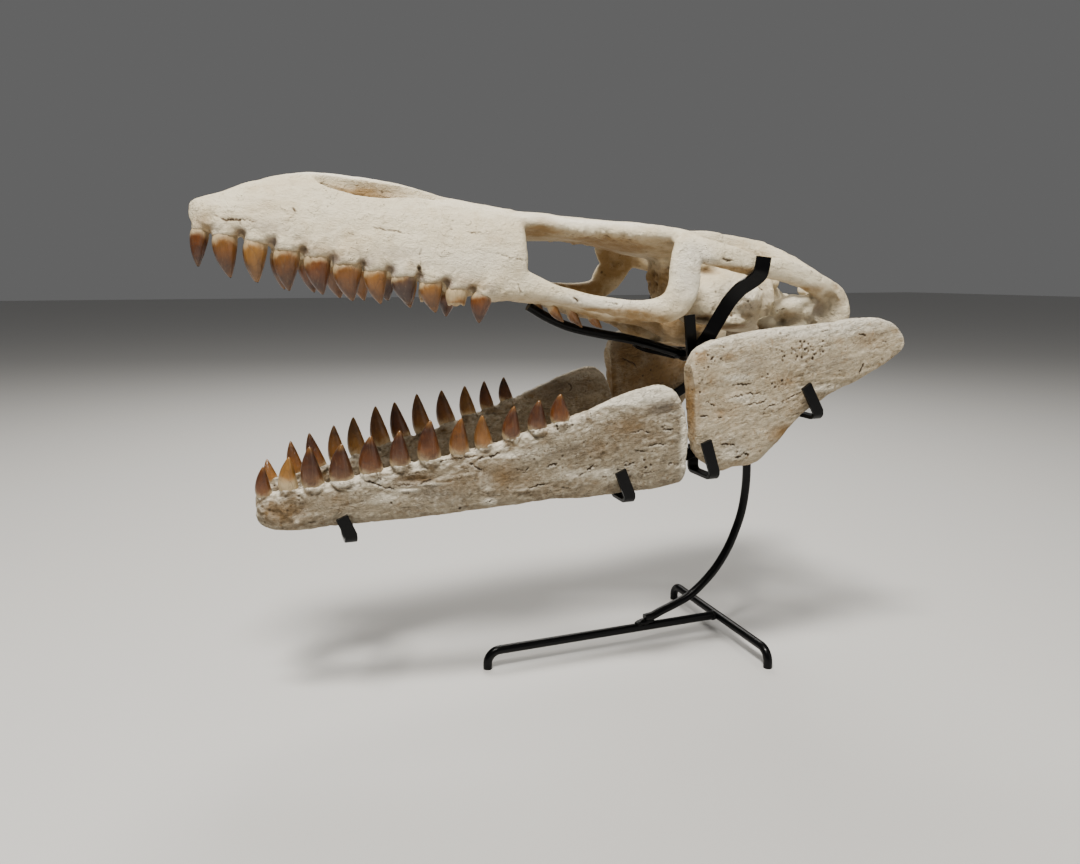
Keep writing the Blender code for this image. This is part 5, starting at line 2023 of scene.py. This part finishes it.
        small = skin.hollowness(self.fine_passes)
        # Painted shade, with grime, in hollows; ridges paler as rubbed wear and painted highlight; painted
        # light on faces turned up; painted shade on undersides.
        up = np.clip(skin.normals[:, 2] * 1.4 - 0.1, 0, 1)
        skin.paint["painted_shade_and_dirt"] += np.clip(hollow / 1.6, 0, 1) * 0.5 + np.clip(small / 0.3, 0, 1) * 0.4
        skin.paint["rub_and_highlight"] += np.clip(-hollow / 1.2, 0, 1) * 0.35 + np.clip(-small / 0.3, 0, 1) * 0.15 + up
        skin.paint["stain_and_shade"] += np.clip(-skin.normals[:, 2] * 0.6 - 0.1, 0, 0.5)
        return thinned(skin.finish(), self.limit)

    def dress(self, palette: Palette, tree: CrownTree) -> None:
        """Build every piece of the lower jaw and hand it over.

        Args:
            palette: the materials.
            tree: the tree that grows the crowns.
        """
        for side in Side:
            settle(self.dentary(side), f"jaw_front_{side.word}", palette.front_jaw, Slot.JAW,
                   f"dentary_{side.word}")
            settle(self.postdentary(side), f"jaw_rear_{side.word}", palette.rear_jaw, Slot.JAW,
                   f"postdentary_{side.word}")
            tree.dress(self.lower_row(side), f"lower_crowns_{side.word}", self.tooth_bow,
                       self.tooth_flatness, palette.enamel)


# ---- stand


class RodTree(ShapeTree):
    """Geometry nodes that run a round rod along a line, with closed ends."""

    SIDES = 28
    STEP = 2.2 * MM

    def __init__(self) -> None:
        """Sweep a circle along the line."""
        super().__init__("Rod", Radius="Float", Paint="Material")
        line = self.node("GeometryNodeMeshToCurve", {}, {"Mesh": self.entry["Geometry"]})
        even = self.node("GeometryNodeResampleCurve", {"mode": "LENGTH"},
                         {"Curve": line, "Length": self.STEP})
        circle = self.node("GeometryNodeCurvePrimitiveCircle", {},
                           {"Resolution": self.SIDES, "Radius": self.entry["Radius"]})
        pipe = self.node("GeometryNodeCurveToMesh", {},
                         {"Curve": even, "Profile Curve": circle, "Fill Caps": True})
        self.close(self.node("GeometryNodeSetShadeSmooth", {}, {"Geometry": pipe}), self.entry["Paint"])

    def rod(self, path: Stations, radius: float, paint: Material) -> Mesh:
        """Make one rod.

        Args:
            path: its middle line, in millimetres.
            radius: its radius, in millimetres.
            paint: its material.

        Returns:
            A plain closed mesh.
        """
        line = bpy.data.meshes.new("line")
        points = [framewise(p) for p in path]
        line.from_pydata(points, [(i, i + 1) for i in range(len(points) - 1)], [])
        return self.grown(line, Radius=radius * MM, Paint=paint)


@dataclass
class Stand:
    """Three-footed base, bowed post, and the straps, rails and hooks that hold the bones."""

    rod: float = 5
    base_z: float = 20
    base_front: float = -83
    base_rear: float = 212
    base_half: float = 106
    rod_overlap: float = 0.6
    bend: float = 14
    post: Stations = (
        (112, 30.6), (122, 31.8), (133, 36), (155, 43.5), (173, 51.5), (190, 64), (207, 81), (221, 101),
        (232, 124), (241, 152), (245, 188), (243, 226), (236, 253), (225, 276), (209, 300), (189, 321),
        (160, 339.5), (123, 352), (86, 362), (49, 369), (14, 377), (-12, 387.5), (-34, 400))
    strap_half: float = 6
    strap_thin: float = 2
    strap_edge: float = 0.6
    strap_crease: float = math.radians(35)
    arch_strap_half: float = 7.5
    arch_strap_turn: float = math.radians(31)
    arch_strap: Stations = (
        (153, -7.5, 349), (146, -34, 349), (139, -55, 353), (137.5, -66, 361), (141, -73, 371.5),
        (149, -77, 388), (157, -81.5, 404.5), (165, -88, 417), (171, -94, 423), (176, -100, 428.5),
        (178, -103.5, 433), (179, -104.8, 439), (180.7, -104.8, 450))
    palate_strap: Stations = (
        (150, -8, 340), (144, -30, 342), (134, -50, 345), (127, -62, 350), (124.5, -64.5, 358),
        (123, -64.5, 375), (121, -64.5, 391))
    rail_front: Stations = (
        (-247, 208), (-200, 211), (-160, 214), (-120, 217), (-40, 222), (30, 226), (90, 238))
    rail_rear: Stations = ((140, -80.5, 256), (190, -85, 283), (243, -91, 311))
    rail_inset: float = 13.6
    front_link: Point = (-215, 24.4, 209)
    rear_link_x: float = 228
    rear_link: Stations = ((-5.8, 268), (-30, 272), (-60, 287), (-85.5, 295))
    weld_melt: Melt = Melt(0.8, softening=2)
    weld_seed: int = 90
    # Centre and radii of the welds in the middle plane, then of those on either side.
    weld_spots: Stations = (
        (112, 0, 26, 8, 6, 4), (105, 0, 25, 6, 5, 3.2), (119, 0, 26.5, 6, 5, 3.4), (206, 0, 20, 4.5, 7, 6),
        (155, 0, 341, 9, 7, 5), (148, 0, 343, 8, 6, 4), (228, 0, 268, 5, 6.5, 5))
    weld_pairs: Stations = ((228, 85.6, 295, 5, 2.6, 4), (-215, 24.4, 209, 5, 2.2, 4))
    hook_turn: float = 6
    hooks: tuple[tuple[str, Row], ...] = (
        ("a", (-232, -240, -18.2, -51, 213, 181, 206)), ("b", (40, 29, -65.8, -97.5, 233, 207, 239)),
        ("c", (126, 115, -73.6, -116, 256, 228, 267)), ("d", (241, 224, -85.2, -127.5, 314, 285.5, 320)))

    def rods(self) -> dict[str, list[Point]]:
        """Middle line of each rod, by name.

        Returns:
            The paths.
        """
        turns = [math.pi / 2 * k / 10 for k in range(11)]
        bend = [(math.sin(turn), 1 - math.cos(turn)) for turn in turns]
        front = [(self.base_front + self.bend - self.bend * along, 0, self.base_z - self.bend * drop)
                 for along, drop in bend]
        near = [(self.base_rear, -(self.base_half - self.bend + self.bend * along),
                 self.base_z - self.bend * drop) for along, drop in bend]
        foot = (self.base_rear, self.base_half, 0)
        return {
            "base_bar": [(self.base_rear - self.rod + self.rod_overlap, 0, self.base_z)] + front
            + [(self.base_front, 0, 0)],
            "cross_bar": [(foot[0], -foot[1], 0)] + near[::-1] + [(x, -y, z) for x, y, z in near]
            + [foot],
            "post": [(x, 0, z) for x, z in follow(self.post, 5)],
        }

    def strap(self, path: Stations, steps: int, half: float, wide: Vector = Vector((1, 0, 0))) -> Mesh:
        """A flat strap with softened edges.

        Args:
            path: its middle line.
            steps: smoothing steps between the path's points.
            half: half its width.
            wide: direction of its broad side.

        Returns:
            Its mesh.
        """
        form = Form()
        edge = self.strap_edge
        thin = self.strap_thin
        corners = ((half, thin - edge), (half - edge, thin), (edge - half, thin),
                   (-half, thin - edge), (-half, edge - thin), (edge - half, -thin),
                   (half - edge, -thin), (half, edge - thin))
        frames = framed([Vector(row) for row in follow(path, steps)], wide)
        form.skin([centre + across * p + up * q for p, q in corners] for centre, across, up in frames)
        mesh = form.mesh()
        mesh.shade_smooth()
        mesh.set_sharp_from_angle(angle=self.strap_crease)
        return mesh

    def hook_path(self, sizes: Sequence[float]) -> list[Point]:
        """Path of a hook under a jaw bone, with round corners.

        Args:
            sizes: the hook's measures.

        Returns:
            The path.
        """
        x_in, x_out, y_in, y_out, z_in, z_low, z_out = sizes
        path = [(x_in, y_in, z_in)]
        for rising in (False, True):
            for angle in np.linspace(0, math.pi / 2, 7):
                near = self.hook_turn * (1 - math.cos(angle))
                far = self.hook_turn * (1 - math.sin(angle))
                path.append((x_in, y_out + far, z_low + near) if rising
                            else (x_in, y_in - near, z_low + far))
        return path + [(x_out, y_out, z_out)]

    def welds(self) -> Mesh:
        """Small lumps of weld where rods, rails and straps meet.

        Returns:
            The mesh.
        """
        form = Form()
        pairs = [row for side in Side for row in mirrored(self.weld_pairs, side)]
        for row in [*self.weld_spots, *pairs]:
            form.ball(row[:3], row[3:])
        skin = Surface(self.weld_melt(form), self.weld_seed)
        skin.push(0.5 * skin.noise(3.5, 1) + 0.2 * skin.noise(1.6, 2))
        return skin.finish()

    @staticmethod
    def _add(mesh: Mesh, name: str, paint: Material) -> None:
        """Hand over a piece, which replaces the solid of its name."""
        settle(mesh, f"steel_{name}", paint, Slot.PAINT, f"stand_{name}")

    def dress(self, palette: Palette, jaw: LowerJaw) -> None:
        """Build every piece of the stand and hand it over.

        Args:
            palette: the materials.
            jaw: the jaw that it carries.
        """
        paint = palette.paint
        tree = RodTree()
        ahead = Vector((1, 0, 0))
        for name, path in self.rods().items():
            self._add(tree.rod(path, self.rod, paint), name, paint)
        for side in Side:
            turn = self.arch_strap_turn
            wide = Vector((math.cos(turn), side.value * math.sin(turn), 0))
            for key, path, steps, half, broad in (
                    ("arch_strap", self.arch_strap, 4, self.arch_strap_half, wide),
                    ("palate_strap", self.palate_strap, 4, self.strap_half, ahead),
                    ("rear_link", [(self.rear_link_x, y, z) for y, z in self.rear_link], 4,
                     self.strap_half, ahead),
                    ("jaw_rail", [(x, self.rail_inset - jaw.row(x), z) for x, z in self.rail_front]
                     + list(self.rail_rear), 5, self.strap_half, Vector((0, 0, 1)))):
                placed = [(x, -side.value * y, z) for x, y, z in path]
                self._add(self.strap(placed, steps, half, broad), f"{key}_{side.word}", paint)
            for letter, sizes in self.hooks:
                placed = [(x, -side.value * y, z) for x, y, z in self.hook_path(sizes)]
                self._add(self.strap(placed, 1, self.strap_half), f"hook_{letter}_{side.word}", paint)
        x, half, z = self.front_link
        self._add(self.strap([(x, -half, z), (x, 0, z), (x, half, z)], 1, self.strap_half),
                  "front_link", paint)
        settle(self.welds(), "steel_welds", paint, Slot.PAINT)


# ---- studio


@dataclass(frozen=True)
class Studio:
    """Floor, soft lights and the camera.

    Attributes:
        eye: the camera's place, in millimetres of the frame.
        azimuth: the way it looks, in degrees from +Y towards +X.
        pitch: how far it looks down, in degrees.
        focal: focal length for a picture as wide as the sensor.
        sensor: width of the sensor.
        floor_size: side of the floor, in metres.
        lamps: name, place in metres, size in metres and watts of each.
        aim: where the lamps point, in metres.
        lamp_colour: colour of their light.
        sky: tone of the light from all round.
        sky_strength: how strong that light is.
    """

    eye: Point = (-316, -820, 433)
    azimuth: float = 20.17
    pitch: float = 10.89
    focal: float = 27.38
    sensor: float = 36
    floor_size: float = 30
    lamps: tuple[tuple[str, Point, float, float], ...] = (
        ("key", (-0.65, -0.88, 2.55), 0.55, 114), ("fill", (1.5, -1.7, 0.9), 1.6, 6),
        ("rear", (0.5, 1.6, 1.9), 1.1, 34))
    aim: Point = (0, 0, 0.3)
    lamp_colour: Colour = (1, 0.97, 0.915)
    sky: Colour = (0.8, 0.8, 0.8)
    sky_strength: float = 0.16

    def set_up(self, palette: Palette) -> None:
        """Make the floor, the lights, the sky tone and the camera.

        Args:
            palette: the materials.
        """
        bpy.ops.mesh.primitive_plane_add(size=self.floor_size)
        floor = bpy.context.object
        floor.name = "floor"
        floor.data.materials.append(palette.floor)
        for name, place, size, power in self.lamps:
            lamp = bpy.data.lights.new(name, "AREA")
            lamp.size = size
            lamp.energy = power
            lamp.color = self.lamp_colour
            obj = add_object(f"lamp_{name}", lamp)
            obj.location = place
            aim = Vector(self.aim) - Vector(place)
            obj.rotation_euler = aim.to_track_quat("-Z", "Y").to_euler()
        world = bpy.data.worlds.new("studio")
        world.use_nodes = True
        back = world.node_tree.nodes["Background"]
        back.inputs["Color"].default_value = (*self.sky, 1)
        back.inputs["Strength"].default_value = self.sky_strength
        bpy.context.scene.world = world
        self._camera()

    def _camera(self) -> None:
        """Make the scene's camera."""
        camera = bpy.data.cameras.new("camera")
        camera.lens = self.focal
        camera.sensor_fit = "HORIZONTAL"
        camera.sensor_width = self.sensor
        camera.clip_start = 0.01
        obj = add_object("camera", camera)
        obj.location = Vector(self.eye) * MM
        obj.rotation_euler = (math.radians(90 - self.pitch), 0, -math.radians(self.azimuth))
        bpy.context.scene.camera = obj


def main() -> None:
    """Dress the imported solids."""
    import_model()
    palette = Palette.mixed()
    studio = Studio()
    studio.set_up(palette)
    crowns = CrownTree()
    cranium = Cranium()
    cranium.dress(palette, crowns)
    jaw = LowerJaw()
    jaw.dress(palette, crowns)
    Stand().dress(palette, jaw)


if __name__ == "__main__":
    main()
